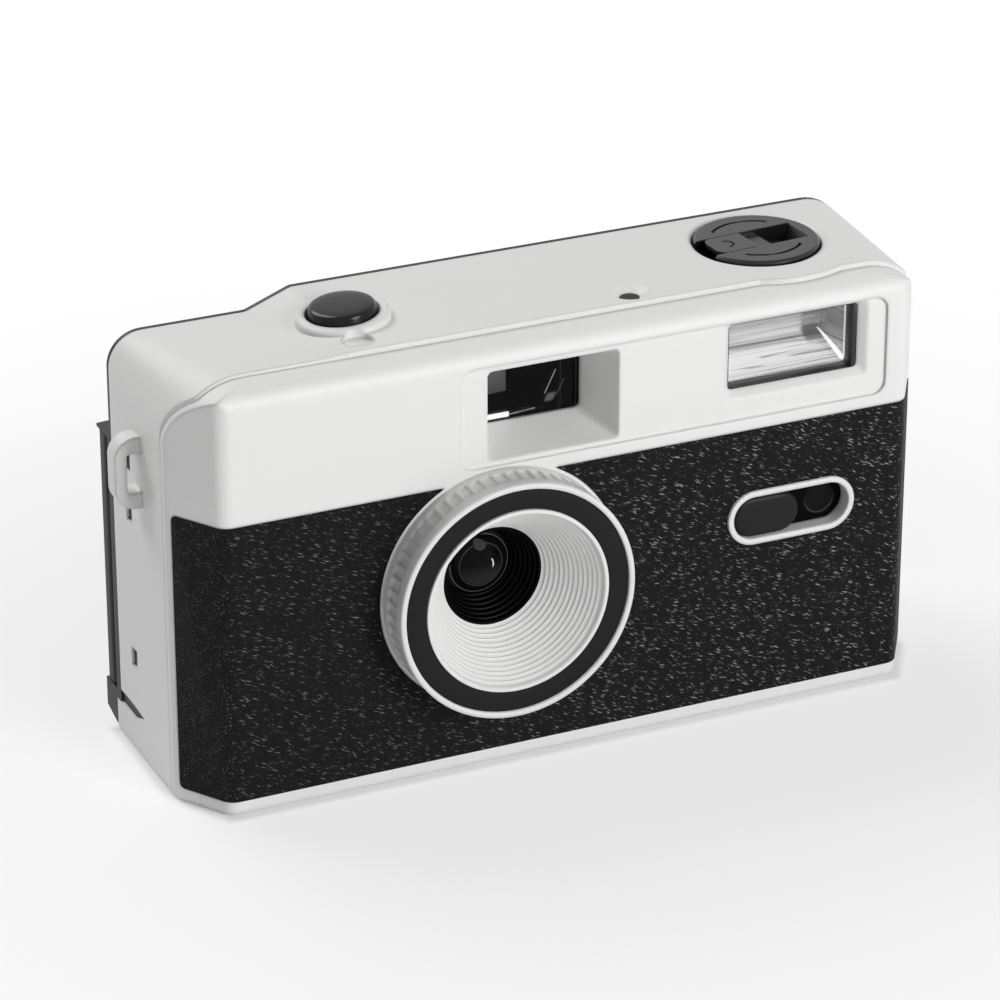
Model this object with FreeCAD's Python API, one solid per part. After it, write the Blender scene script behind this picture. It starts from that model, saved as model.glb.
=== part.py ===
import FreeCAD, Part
import math
import os
from FreeCAD import Vector as V

# Reusable 35 mm film camera, in millimetres. The camera stands on z = 0 and looks
# along -Y. The origin is the middle of the base, x runs to the rewind knob's side.

# Case
body_width = 115.0
body_height = 65.0
front_y = -16.0
seam_y = -11.3
side_seam_y = -6.4
case_back_y = 13.5
case_wall = 1.6
base_wall = 1.8
facet_width = 5.3
facet_depth = 8.3
facet_round = 2.5
facet_end_round = 1.5
front_step = 0.8
front_top_round = 3.0
end_round = 10.0
back_round_left = 5.0
back_round_right = 7.0
hollow_round = 6.5
foot_round = 1.2
seam_chamfer = 3.6
dip_left_front = 0.3
dip_left_back = 2.6
dip_start_x = -37.0
dip_end_x = -30.2
dip_bend = 2.0
foot_back_y = 15.2
foot_height = 5.3

# Leather sheet
sheet_bottom = 2.4
sheet_below_finder = 2.3
sheet_thickness = 0.6
sheet_recess = 0.5
sheet_end_gap = 1.0
sheet_corner = 0.8
sheet_ring_gap = 0.5

# Lens group
lens_x = -11.3
ring_radius = 17.8
ring_length = 6.4
ring_lip = 1.9
ring_flange = 1.3
ring_chamfer = 0.4
ring_wall = 1.03
rib_count = 60
rib_height = 0.4
rib_share = 0.36
rib_slope = 0.1
trim_inner = 13.8
trim_depth = 0.35
trim_thickness = 1.2
cone_front = 13.2
cone_rear = 7.5
cone_depth = 9.0
cone_steps = 12
cone_lip = 0.4
cone_set = 0.1
step_relief = 0.28
cone_wall = 1.2
inner_rear = 4.8
inner_lip = 0.4
inner_depth = 4.9
inner_steps = 6
barrel_wall = 1.4
front_lens_radius = 5.3
front_lens_edge = 1.0
front_lens_crown = 1.5
lens_rim = 0.2
aperture_radius = 1.9
aperture_thickness = 0.4
blade_thickness = 0.3
blade_gap = 0.3
blade_overlap = 1.4
blade_arm = 4.0
blade_pivot_rise = 3.0
blade_eye = 1.7
blade_tail = 4.0
blade_pin = 0.7
rear_lens_radius = 4.4
rear_lens_edge = 1.2
rear_lens_rim = 0.4
rear_lens_crown = 0.8

# Viewfinder
finder_left = -13.2
finder_right = 7.1
finder_drop = 4.5
finder_height = 13.8
finder_inset_side = 2.75
finder_inset_height = 2.5
finder_depth = 8.0
finder_wall = 0.9
finder_glass = 1.0
finder_round = 0.8
tunnel_ledge = 0.4
eyepiece_width = 11.0
eyepiece_height = 7.6
eyepiece_rim = 1.6
eyepiece_dish = 0.3
eyepiece_set = 0.5
panel_left = -17.2
panel_right = 49.0
panel_below_finder = 0.5
panel_depth = 0.4
panel_corner = 2.0

# Flash
flash_left = 24.4
flash_right = 44.9
flash_drop = 4.6
flash_height = 9.9
flash_round = 0.6
bezel_side = 1.1
bezel_top = 0.5
gasket_set = 1.5
gasket_width = 0.65
gasket_depth = 2.5
window_set = 2.8
window_thickness = 1.2
window_lines = 7
housing_wall = 1.2
housing_depth = 5.0
reflector_depth = 7.5
reflector_wall = 0.4
reflector_end = 3.5
reflector_floor = 3.2
reflector_roof = 2.2
tube_radius = 1.2
tube_end = 0.6
tube_rise = 0.7
board_thickness = 1.2
board_from_flash = 4.0
capacitor_length = 22.0
capacitor_chamfer = 0.5
capacitor_gap = 0.3

# Flash switch
switch_x = 34.2
switch_above_lens = 2.55
switch_length = 20.2
switch_height = 8.3
switch_rim = 0.85
switch_rim_proud = 0.5
slider_length = 10.5
slider_gap = 0.12
slider_set = 0.1
slider_chamfer = 0.4
switch_floor_set = 2.0
switch_plate = 0.8

# Shutter button
button_x = -27.7
button_y = 0.4
button_radius = 5.2
button_proud = 2.3
button_crown = 0.5
button_shoulder = 0.9
button_cap = 3.3
collar_radius = 6.7
collar_proud = 0.9
collar_chamfer = 0.4
button_tilt = 5.0
slide_gap = 0.08
stem_radius = 1.5
stem_length = 5.5
well_depth = 2.8
spring_inset = 1.6
spring_turns = 2
spring_wire = 0.2
dimple_radius = 2.2
dimple_aside = 1.2
dimple_ahead = 8.3
dimple_depth = 0.6

# Rewind knob and its tab
cassette_from_end = 20.3
cassette_y = 2.1
knob_radius = 9.1
knob_proud = 0.35
knob_skirt = 3.0
knob_gap = 0.3
knob_chamfer = 0.35
rim_width = 0.7
rim_depth = 0.35
halo_radius = 14.8
band_width = 5.7
band_gap = 0.1
band_turn = 4.0
band_depth = 1.9
ledge_reach = 1.6
ledge_drop = 0.7
pocket_depth = 2.6
pocket_wall = 1.5
pocket_slope = 1.8
groove_radius = 6.8
groove_width = 0.5
groove_depth = 0.35
groove_half = 4.6
crank_thickness = 1.5
crank_inset = 1.6
crank_reach = 5.9
crank_corner = 1.3
crank_lip = 1.6
crank_pin_radius = 0.5
crank_pin_seat = 1.2
mark_radius = 1.3
mark_width = 0.4
mark_place = 2.4
mark_depth = 0.3
shaft_radius = 2.4
collar_ring_radius = 4.2
collar_ring_height = 1.0
fork_height = 6.0
fork_slot = 1.6
fork_web = 2.0
fork_drop = 1.0
fork_chamfer = 0.4

# Film path
film_width = 35.0
gate_width = 36.0
gate_height = 24.0
tunnel_width = 14.0
tunnel_height = 12.0
tunnel_wall = 1.2
rail_y = 12.0
rail_height = 0.6
rail_length = 48.0
outer_rail_width = 1.0
inner_rail_width = 1.4
inner_rail_drop = 0.2
outer_rail_gap = 0.6
inner_rail_gap = 1.6
cassette_radius = 13.0
chamber_bottom = 4.3
deck_height = 11.7
take_up_from_end = 16.0
take_up_y = 4.8
take_up_radius = 10.6
spool_radius = 5.5
spool_flange = 1.6
spool_flange_thickness = 1.2
spool_end_gap = 0.3
spool_slot = 1.6
spool_slot_depth = 2.5
spool_shaft = 1.6
spool_drive = 1.5
chassis_wall = 1.4
chassis_front = -7.2
bridge_drop = 1.3
saddle_rise = 1.3
sprocket_x = 10.5
sprocket_teeth = 8
perforation_pitch = 4.75
tooth_height = 0.8
tooth_root = 1.8
tooth_tip = 0.9
tooth_set = 0.3
sprocket_below_edge = 2.0
sprocket_width = 2.0
sprocket_shaft = 1.0
sprocket_tail = 2.0
sprocket_room = 0.5
finger_reach = 1.6
finger_thickness = 0.6

# Advance wheel and counter
wheel_radius = 12.7
wheel_above_deck = 0.9
wheel_height = 4.0
wheel_notches = 40
notch_depth = 0.7
wheel_gap = 0.4
wheel_hub = 2.6
hub_gap = 0.3
counter_x = 12.3
counter_y = -7.6
counter_hole = 1.45
counter_dimple = 3.0
counter_depth = 0.9
disc_x = 8.0
disc_y = -2.6
disc_radius = 8.4
disc_drop = 1.2
disc_thickness = 0.8
disc_hub = 1.6
ratchet_radius = 6.6
ratchet_teeth = 40
ratchet_height = 0.9
ratchet_depth = 0.6

# Rear cover and film door
cover_back_y = 15.8
cover_edge_chamfer = 1.5
door_gap = 0.25
door_thickness = 3.6
door_foot = 21.2
door_head = 17.9
door_end_inset = 0.1
door_end_round = 1.2
door_corner = 1.5
door_rib = 1.2
door_rib_gap = 0.6
door_rib_set = 0.6
chin_bottom = 1.1
brow_height = 2.3
door_step_gap = 3.0
door_low_gap = 0.8
opening_inset = 1.2
opening_side = 4.4
opening_corner = 1.0
brow_slope = 1.9
chin_slope = 1.1
hinge_from_end = 2.3
hinge_depth_share = 0.45
hinge_pin_radius = 0.7
pin_gap = 0.05
hinge_clear = 3.4
pin_seat = 1.4
pin_head = 0.9
grip_count = 3
grip_pitch = 3.0
grip_width = 1.0
grip_height = 28.0
grip_depth = 0.4
grip_from_lens = 22.0
pressure_width = 44.0
pressure_height = 28.0
pressure_thickness = 1.0
pressure_stud = 1.2
pressure_stud_inset = 6.0
film_channel = 0.2
spring_leaf = 0.25
spring_rise = 0.45
spring_inset_end = 9.0
spring_width = 6.0
latch_length = 9.0
latch_width = 3.6
latch_travel = 3.0
latch_y = 9.4
latch_above_lens = 1.9
latch_proud = 0.8
latch_grooves = 4
latch_groove_width = 0.7
latch_groove_depth = 0.4
latch_flange = 1.5
latch_plate = 1.1
hook_width = 1.2
hook_gap = 0.3
hook_below = 1.0
hook_height = 2.4
tongue_width = 0.9
tongue_height = 8.0
tongue_window = 5.0
clip_width = 2.1
clip_height = 2.9
clip_y = 7.1
clip_set = 0.3
clip_gap = 0.1
clip_arm = 1.0

# Battery
battery_x = 16.7
battery_y = -5.2
battery_room = 11.0
battery_head = 1.8
holder_wall = 1.0
holder_front = -11.0
contact_width = 6.0
contact_depth = 4.0
contact_thickness = 0.5
contact_coil = 2.2
contact_wire = 0.25
contact_rise = 2.8
contact_turns = 3
contact_gap = 0.35
battery_door_width = 11.4
battery_door_depth = 10.9
battery_door_thickness = 1.6
battery_door_corner = 1.0
battery_grip_width = 0.8
battery_grip_length = 6.0
battery_grip_pitch = 2.0
battery_grip_depth = 0.3
base_gap = 0.1
door_pin_radius = 0.45
door_pin_reach = 0.9
door_pin_end_gap = 0.2

# Small fittings
lug_reach = 3.8
lug_below_top = 13.0
lug_height = 10.7
lug_y = 2.9
lug_thickness = 3.0
lug_round = 3.0
lug_root = 0.4
eye_width = 2.1
eye_height = 5.9
eye_corner = 0.4
slit_front_y = 3.8
slit_top = 7.4
slit_bottom = 5.5
slit_taper = 4.0
release_radius = 2.6
release_proud = 1.9
release_set = 0.3
release_travel = 1.2
release_dish = 0.5
lamp_radius = 1.3
lamp_aside = 5.0
lamp_proud = 0.3
screw_radius = 1.6
screw_head = 1.2
screw_shank_y = 4.0
screw_slot = 0.5
screw_slot_depth = 0.6
screw_gap = 0.05

half = body_width / 2
front_top = body_height - front_step
face_half = half - facet_width
facet_end_y = front_y + facet_depth
facet_slope = math.atan2(facet_width, facet_depth)
cassette_x = half - cassette_from_end
take_up_x = take_up_from_end - half
ceiling = body_height - case_wall
low_ceiling = ceiling - dip_left_back
chassis_top = body_height - deck_height
chamber_top = chassis_top - chassis_wall
lens_z = (chamber_bottom + chamber_top) / 2
bridge_top = chamber_top - bridge_drop
finder_top = body_height - finder_drop
finder_bottom = finder_top - finder_height
finder_saddle = finder_bottom + saddle_rise
panel_bottom = finder_bottom - panel_below_finder
sheet_top = finder_bottom - sheet_below_finder
flash_top = body_height - flash_drop
flash_bottom = flash_top - flash_height
switch_z = lens_z + switch_above_lens
button_top = body_height + button_proud
collar_top = body_height + collar_proud
well_floor = body_height - well_depth
knob_top = body_height + knob_proud
knob_well_floor = knob_top - knob_skirt - knob_gap
capacitor_radius = (knob_well_floor - case_wall - capacitor_gap - chassis_top) / 2
disc_top = ceiling - disc_drop
wheel_x = take_up_x
wheel_y = take_up_y
wheel_bottom = chassis_top + wheel_above_deck
door_y = cover_back_y + door_gap
door_back_y = door_y + door_thickness
door_bottom = lens_z - door_foot
door_top = lens_z + door_head
door_low = chamber_bottom - door_low_gap
door_high = chamber_top + chassis_wall
door_step_x = cassette_x - cassette_radius - door_step_gap
hinge_x = hinge_from_end - half
hinge_y = door_y + door_thickness * hinge_depth_share
latch_z = lens_z + latch_above_lens
lug_top = body_height - lug_below_top
lug_bottom = lug_top - lug_height
sprocket_radius = sprocket_teeth * perforation_pitch / (2 * math.pi)
sprocket_y = rail_y - sprocket_radius
sprocket_z = lens_z + film_width / 2 - sprocket_below_edge
battery_top = bridge_top - battery_head
clip_places = (lens_z - 12.7, lens_z + 10.1, lens_z + 17.9)
well_split_x = cassette_x - cassette_radius - holder_wall
spool_split_x = take_up_x + take_up_radius + chassis_wall
far = 200.0


def box(x0, x1, y0, y1, z0, z1):
    return Part.makeBox(x1 - x0, y1 - y0, z1 - z0, V(x0, y0, z0))


def rod(radius, start, end):
    along = end.sub(start)
    return Part.makeCylinder(radius, along.Length, start, along)


def post(radius, x, y, z0, z1):
    return rod(radius, V(x, y, z0), V(x, y, z1))


def facing(radius, y0, y1):
    # A cylinder on the lens axis from y0 back to y1.
    return rod(radius, V(lens_x, y0, lens_z), V(lens_x, y1, lens_z))


def rounded(corners, place):
    # A closed wire through corners (u, v, radius); place turns (u, v) into a point.
    edges = []
    joints = []
    count = len(corners)
    for i in range(count):
        before = corners[i - 1]
        here = corners[i]
        after = corners[(i + 1) % count]
        at = V(here[0], here[1], 0)
        into = V(before[0] - here[0], before[1] - here[1], 0).normalize()
        out = V(after[0] - here[0], after[1] - here[1], 0).normalize()
        if here[2] <= 0:
            joints.append((at, None, at))
            continue
        corner = into.getAngle(out)
        reach = here[2] / math.tan(corner / 2)
        bisector = into.add(out).normalize()
        centre = at.add(bisector.multiply(here[2] / math.sin(corner / 2)))
        middle = centre.add(at.sub(centre).normalize().multiply(here[2]))
        joints.append((at.add(into.multiply(reach)), middle, at.add(out.multiply(reach))))
    for i in range(count):
        start, middle, end = joints[i]
        if middle is not None:
            edges.append(Part.Arc(place(start.x, start.y), place(middle.x, middle.y),
                                  place(end.x, end.y)).toShape())
        following = joints[(i + 1) % count][0]
        if end.sub(following).Length > 1e-6:
            edges.append(Part.LineSegment(place(end.x, end.y),
                                          place(following.x, following.y)).toShape())
    return Part.Wire(edges)


def at_y(y):
    return lambda u, v: V(u, y, v)


def at_x(x):
    return lambda u, v: V(x, u, v)


def at_z(z):
    return lambda u, v: V(u, v, z)


def slab_y(corners, y0, y1):
    return Part.Face(rounded(corners, at_y(y0))).extrude(V(0, y1 - y0, 0))


def slab_x(corners, x0, x1):
    return Part.Face(rounded(corners, at_x(x0))).extrude(V(x1 - x0, 0, 0))


def slab_z(corners, z0, z1):
    return Part.Face(rounded(corners, at_z(z0))).extrude(V(0, 0, z1 - z0))


def frame_corners(u0, u1, v0, v1, radius):
    return [(u0, v0, radius), (u1, v0, radius), (u1, v1, radius), (u0, v1, radius)]


def panel_y(x0, x1, z0, z1, radius, y0, y1):
    return slab_y(frame_corners(x0, x1, z0, z1, radius), y0, y1)


def funnel(front, back, y0, y1, radius):
    # A tapered block between two rounded rectangles (x0, x1, z0, z1).
    wires = [rounded(frame_corners(*front, radius), at_y(y0)),
             rounded(frame_corners(*back, radius), at_y(y1))]
    return Part.makeLoft(wires, True, True)


def grown(rect, by):
    return (rect[0] - by, rect[1] + by, rect[2] - by, rect[3] + by)


def turned(profile):
    # A solid of revolution on the lens axis from (radius, y) points.
    points = [V(lens_x + r, y, lens_z) for r, y in profile]
    face = Part.Face(Part.makePolygon(points + points[:1]))
    return face.revolve(V(lens_x, 0, lens_z), V(0, 1, 0), 360)


def spindle(profile, x, y):
    # A solid of revolution on an upright axis from (radius, z) points.
    points = [V(x + r, y, z) for r, z in profile]
    face = Part.Face(Part.makePolygon(points + points[:1]))
    return face.revolve(V(x, y, 0), V(0, 0, 1), 360)


def plan_block(back_y, z0, z1, grow=0.0):
    # The case's plan moved out by grow: flat front, two facets and straight ends.
    lean = math.tan((math.pi / 2 - facet_slope) / 2) * grow
    drop = math.tan(facet_slope / 2) * grow
    corners = [(-half - grow, back_y, 0),
               (-half - grow, facet_end_y - drop, facet_end_round + grow),
               (-face_half - lean, front_y - grow, facet_round + grow),
               (face_half + lean, front_y - grow, facet_round + grow),
               (half + grow, facet_end_y - drop, facet_end_round + grow),
               (half + grow, back_y, 0)]
    return slab_z(corners, z0, z1)


def case_profile(y, dip, left_round, right_round):
    # The case seen from the front at depth y, lower by dip at the shutter end.
    low = body_height - dip
    return rounded([(-half, 0, foot_round), (half, 0, foot_round),
                    (half, body_height, right_round), (dip_end_x, body_height, dip_bend),
                    (dip_start_x, low, dip_bend), (-half, low, left_round)], at_y(y))


def case_form():
    front = case_profile(seam_y, dip_left_front, end_round, end_round)
    back = case_profile(case_back_y, dip_left_back, back_round_left, back_round_right)
    form = Part.makeLoft([front, back], True, True)
    foot = Part.Face(case_profile(case_back_y, dip_left_back, back_round_left,
                                  back_round_right)).extrude(V(0, foot_back_y - case_back_y, 0))
    form = form.fuse(foot.common(box(-far, far, -far, far, -1, foot_height)))
    for side in (-1, 1):
        wedge = [(side * (half - seam_chamfer), seam_y - 1, 0), (side * (half + 1), seam_y - 1, 0),
                 (side * (half + 1), side_seam_y, 0), (side * half, side_seam_y, 0),
                 (side * (half - seam_chamfer), seam_y, 0)]
        form = form.cut(slab_z(wedge, -1, body_height + 1))
    return form


def hollow_form(y0, y1):
    end = half - case_wall
    corners = [(-end, base_wall, 0), (end, base_wall, 0), (end, ceiling, hollow_round),
               (dip_end_x, ceiling, 0), (dip_start_x, low_ceiling, 0),
               (-end, low_ceiling, hollow_round)]
    return slab_y(corners, y0, y1)


def halo():
    # The top deck bulges forward of the seam, round the rewind knob.
    bulge = post(halo_radius, cassette_x, cassette_y, ceiling - 1.0, body_height)
    deck = Part.Face(case_profile(front_y, dip_left_front, end_round, end_round))
    return bulge.common(deck.extrude(V(0, seam_y - front_y, 0)))


def make_middle_case():
    case = case_form().fuse(halo())
    case = case.cut(hollow_form(seam_y - 1, far))
    well_radius = knob_radius + knob_gap
    case = case.fuse(post(well_radius + case_wall, cassette_x, cassette_y,
                          knob_well_floor - case_wall, ceiling))
    case = case.fuse(button_place(shutter_collar()))
    case = case.cut(post(well_radius, cassette_x, cassette_y, knob_well_floor, far))
    case = case.cut(spindle([(0, body_height - rim_depth), (well_radius, body_height - rim_depth),
                             (well_radius + rim_width, body_height), (0, body_height)],
                            cassette_x, cassette_y))
    case = case.cut(post(shaft_radius + pin_gap, cassette_x, cassette_y,
                         knob_well_floor - case_wall - 1, far))
    case = case.cut(button_place(post(button_radius + slide_gap, button_x, button_y, well_floor,
                                      collar_top + 1)))
    case = case.cut(button_place(post(stem_radius + pin_gap, button_x, button_y,
                                      well_floor - case_wall - 1, well_floor + 1)))
    case = case.cut(post(dimple_radius, button_x - dimple_aside, button_y - dimple_ahead,
                         body_height - dimple_depth, far))
    case = case.cut(post(counter_hole, counter_x, counter_y, ceiling - 1, far))
    case = case.cut(spindle([(0, body_height - counter_depth),
                             (counter_hole, body_height - counter_depth),
                             (counter_dimple, body_height), (0, body_height + 1)],
                            counter_x, counter_y))
    case = case.cut(base_holes())
    case = case.cut(side_windows())
    case = case.cut(latch_slot())
    return case.fuse(strap_lug()).removeSplitter()


def shutter_collar():
    return spindle([(0, well_floor - case_wall), (collar_radius, well_floor - case_wall),
                    (collar_radius, collar_top - collar_chamfer),
                    (collar_radius - collar_chamfer, collar_top), (0, collar_top)],
                   button_x, button_y)


def battery_plan(inset):
    x0 = battery_x - battery_door_width / 2 + inset
    x1 = battery_x + battery_door_width / 2 - inset
    y0 = battery_y - battery_door_depth / 2 + inset
    y1 = battery_y + battery_door_depth / 2 - inset
    return [(x0, y0, battery_door_corner), (x1, y0, battery_door_corner), (x1, y1, 0), (x0, y1, 0)]


def battery_hinge(radius, reach):
    # The battery door turns on a line along its rear edge, half way up its thickness.
    y = battery_y + battery_door_depth / 2 - slider_gap - battery_door_thickness / 2
    z = base_gap + battery_door_thickness / 2
    wide = battery_door_width / 2 + reach
    return rod(radius, V(battery_x - wide, y, z), V(battery_x + wide, y, z))


def base_holes():
    door = slab_z(battery_plan(0.0), -1, base_wall + 1)
    release = post(release_radius + slide_gap, sprocket_x, sprocket_y, -1, base_wall + 1)
    return door.fuse([release, battery_hinge(door_pin_radius + pin_gap, door_pin_reach)])


def clip_window(z, gap, x0, x1):
    reach = clip_width / 2 - gap
    high = clip_height / 2 - gap
    return box(x0, x1, clip_y - reach, clip_y + reach, z - high, z + high)


def slit_shape(gap, x0, x1):
    # A wedge that runs forward from the rear cover, between the case and its foot.
    low = slit_bottom + gap
    high = slit_top - gap
    tip = slit_front_y + gap * 3
    return slab_x([(tip, high - 0.3, 0), (tip + slit_taper, low, 0), (foot_back_y + 1, low, 0),
                   (foot_back_y + 1, high, 0), (tip + slit_taper, high, 0)], x0, x1)


def side_windows():
    # Windows for the rear cover's clips in the shutter end, and the slit below them.
    x0 = -half - 1
    x1 = -half + case_wall + 1
    windows = [clip_window(z, 0.0, x0, x1) for z in clip_places]
    return slit_shape(0.0, x0, x1).fuse(windows)


def latch_slot():
    return slab_x(frame_corners(latch_y - latch_width / 2, latch_y + latch_width / 2,
                                latch_z - latch_length / 2 - latch_travel - slider_gap,
                                latch_z + latch_length / 2 + slider_gap, 0.4),
                  half - case_wall - 1, half + 1)


def strap_lug():
    out = half + lug_reach
    loop = slab_y([(-half + lug_root, lug_bottom, 0), (-half + lug_root, lug_top, 0),
                   (-out, lug_top, lug_round), (-out, lug_bottom, lug_round)],
                  lug_y - lug_thickness / 2, lug_y + lug_thickness / 2)
    middle = (lug_bottom + lug_top) / 2
    eye = panel_y(-half - eye_width, -half, middle - eye_height / 2, middle + eye_height / 2,
                  eye_corner, lug_y - lug_thickness, lug_y + lug_thickness)
    return loop.cut(eye)


def finder_mouth():
    return (finder_left, finder_right, finder_bottom, finder_top)


def finder_throat():
    return (finder_left + finder_inset_side, finder_right - finder_inset_side,
            finder_bottom + finder_inset_height, finder_top - finder_inset_height)


def front_block():
    # The cover's front, plan and side outlines in one block, with its foot rounded.
    outline = [(-half, 0, 0), (half, 0, 0), (half, front_top, end_round),
               (-half, front_top, end_round)]
    block = slab_y(outline, front_y, side_seam_y).common(plan_block(side_seam_y, -1, far))
    foot = [e for e in block.Edges
            if e.BoundBox.ZMax < 0.01 and e.BoundBox.YMin < side_seam_y - 0.01]
    block = block.makeFillet(foot_round, foot)
    side = [(side_seam_y, -1, 0), (side_seam_y, front_top, 0),
            (front_y, front_top, front_top_round), (front_y, -1, 0)]
    return block.common(slab_x(side, -half, half))


def make_front_cover():
    pan_half = face_half - case_wall * 0.7
    cover = front_block()
    cover = cover.cut(panel_y(-pan_half, pan_half, base_wall, ceiling - front_step, facet_round,
                              front_y + case_wall, side_seam_y + 1))
    boss = facing(ring_radius - case_wall, front_y + 0.5, seam_y)
    rim = stadium(0, front_y - switch_rim_proud, front_y + switch_floor_set)
    cover = cover.fuse([boss, rim]).cut(case_form()).cut(halo())
    mouth = finder_mouth()
    throat = finder_throat()
    inner = front_y + finder_depth
    hood = funnel(grown(mouth, finder_wall), grown(throat, finder_wall), front_y + 1.0, inner,
                  finder_round)
    housing = panel_y(*flash_rect(housing_wall), housing_wall, front_y + 1.0,
                      front_y + housing_depth)
    cover = cover.fuse([hood, housing])
    cover = cover.cut(panel_y(panel_left, panel_right, panel_bottom, front_top - front_top_round,
                              panel_corner, front_y - 1, front_y + panel_depth))
    cover = cover.cut(funnel(mouth, throat, front_y, inner + 0.001, finder_round))
    cover = cover.cut(panel_y(*mouth, finder_round, front_y - 1, front_y + panel_depth))
    cover = cover.cut(facing(barrel_radius(), front_y - 1, far))
    bezel = (flash_left - bezel_side, flash_right + bezel_side, flash_bottom - bezel_side,
             flash_top + bezel_top)
    cover = cover.cut(funnel(bezel, flash_rect(0), front_y + panel_depth, front_y + gasket_set,
                             flash_round))
    cover = cover.cut(panel_y(*flash_rect(0), flash_round, front_y + gasket_set, far))
    cover = cover.cut(stadium(switch_rim, front_y - 2, far))
    cover = cover.cut(leather_band(sheet_recess, 0.0))
    return cover.removeSplitter()


def stadium(inset, y0, y1):
    # A long hole with round ends for the flash switch, made smaller by inset.
    long = switch_length / 2 - inset
    high = switch_height / 2 - inset
    return panel_y(switch_x - long, switch_x + long, switch_z - high, switch_z + high,
                   high - 0.001, y0, y1)


def barrel_radius():
    return cone_front + cone_wall * 0.5


def leather_band(depth, proud):
    # The sheet wraps the front and both facets; depth is how far it goes in.
    band = plan_block(side_seam_y, sheet_bottom, sheet_top, proud)
    band = band.cut(plan_block(side_seam_y, sheet_bottom - 1, sheet_top + 1, -depth))
    along = V(facet_width, facet_depth, 0).normalize()
    out = V(facet_depth, -facet_width, 0).normalize()
    for side in (-1, 1):
        stop = V(half, facet_end_y, 0).sub(V(along).multiply(sheet_end_gap))
        rest = []
        for across, on in ((2, 0), (-8, 0), (-8, 20), (2, 20)):
            spot = stop.add(V(out).multiply(across)).add(V(along).multiply(on))
            rest.append((side * spot.x, spot.y, 0))
        band = band.cut(slab_z(rest, sheet_bottom - 2, sheet_top + 2))
    corners = [e for e in band.Edges if abs(e.BoundBox.XMin) > face_half + facet_width * 0.5
               and e.BoundBox.ZLength < 0.01 and e.Length < depth + proud + 0.01]
    band = band.makeFillet(sheet_corner, corners)
    band = band.cut(facing(ring_radius + sheet_ring_gap, front_y - 5, far))
    return band.cut(stadium(0, front_y - 5, far))


def make_leather():
    return leather_band(sheet_recess, sheet_thickness - sheet_recess)


def ring_outline():
    # Narrow grip ribs with wide flat grooves between them.
    points = []
    pitch = 2 * math.pi / rib_count
    low = ring_radius - rib_height
    for i in range(rib_count):
        for turn, radius in ((0.0, ring_radius), (rib_share, ring_radius),
                             (rib_share + rib_slope, low), (1 - rib_slope, low)):
            angle = (i + turn) * pitch
            points.append(V(lens_x + radius * math.sin(angle), front_y,
                            lens_z + radius * math.cos(angle)))
    return Part.Face(Part.makePolygon(points + points[:1]))


def make_lens_ring():
    ring_front = front_y - ring_length
    grip = ring_outline().extrude(V(0, ring_lip - ring_length, 0))
    lip = turned([(0, ring_front), (ring_radius - ring_chamfer, ring_front),
                  (ring_radius, ring_front + ring_chamfer), (ring_radius, ring_front + ring_lip),
                  (0, ring_front + ring_lip)])
    flange = facing(ring_radius, front_y - ring_flange, front_y)
    ring = grip.fuse([lip, flange])
    ring = ring.cut(facing(trim_inner, ring_front - 1, front_y + 1))
    channel = facing(ring_radius - ring_wall, ring_front - 1,
                     ring_front + trim_depth + trim_thickness)
    return ring.cut(channel.cut(facing(trim_inner, ring_front - 2, front_y)))


def make_ring_trim():
    front = front_y - ring_length + trim_depth
    washer = facing(ring_radius - ring_wall, front, front + trim_thickness)
    return washer.cut(facing(trim_inner, front - 1, front + trim_thickness + 1))


def stepped(r0, r1, y0, y1, steps):
    # Points of a funnel wall that goes in as small treads, from its mouth back.
    points = []
    for i in range(steps):
        radius = r0 + (r1 - r0) * i / steps
        inner = r0 + (r1 - r0) * (i + 1) / steps
        depth = y0 + (y1 - y0) * (i + 1) / steps
        points.append((radius, depth - step_relief))
        points.append((inner, depth))
    return points


def make_lens_cone():
    front = front_y - ring_length
    rear = front + cone_depth
    mouth = front + cone_set + cone_lip
    profile = [(trim_inner, front + cone_set), (cone_front, front + cone_set),
               (cone_front, mouth)]
    profile += stepped(cone_front, cone_rear, mouth, rear, cone_steps)
    profile += [(cone_rear, rear + cone_wall), (cone_rear + cone_wall, rear + cone_wall),
                (barrel_radius(), rear - cone_wall), (barrel_radius(), front_y),
                (trim_inner, front_y)]
    return turned(profile)


def make_inner_cone():
    front = front_y - ring_length + cone_depth
    rear = front + inner_depth
    edge = cone_rear + cone_wall
    profile = [(cone_rear, front), (cone_rear - inner_lip, front)]
    profile += stepped(cone_rear - inner_lip, inner_rear, front, rear, inner_steps)
    profile += [(front_lens_radius, rear), (front_lens_radius, rear + front_lens_edge),
                (edge, rear + front_lens_edge), (edge, front + cone_wall),
                (cone_rear, front + cone_wall)]
    return turned(profile)


def lens_seat_y():
    return front_y - ring_length + cone_depth + inner_depth


def dome(radius, crown, y_edge, direction):
    # A spherical cap of the given height on a disc edge.
    ball = (radius * radius + crown * crown) / (2 * crown)
    centre = V(lens_x, y_edge - direction * (ball - crown), lens_z)
    sphere = Part.makeSphere(ball, centre)
    reach = sorted([y_edge, y_edge + direction * crown])
    return sphere.common(facing(radius, reach[0], reach[1]))


def make_front_lens():
    seat = lens_seat_y()
    edge = facing(front_lens_radius, seat, seat + front_lens_edge)
    cap = dome(inner_rear - lens_rim, front_lens_crown, seat, -1)
    return edge.fuse(cap).removeSplitter()


def make_aperture_plate():
    front = lens_seat_y() + front_lens_edge
    plate = facing(cone_rear + cone_wall, front, front + aperture_thickness)
    return plate.cut(facing(aperture_radius, front - 1, front + 1))


def blade_y():
    return lens_seat_y() + front_lens_edge + aperture_thickness + blade_gap


def blade_pivot():
    return V(lens_x + cone_rear, blade_y(), lens_z + blade_pivot_rise)


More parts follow.
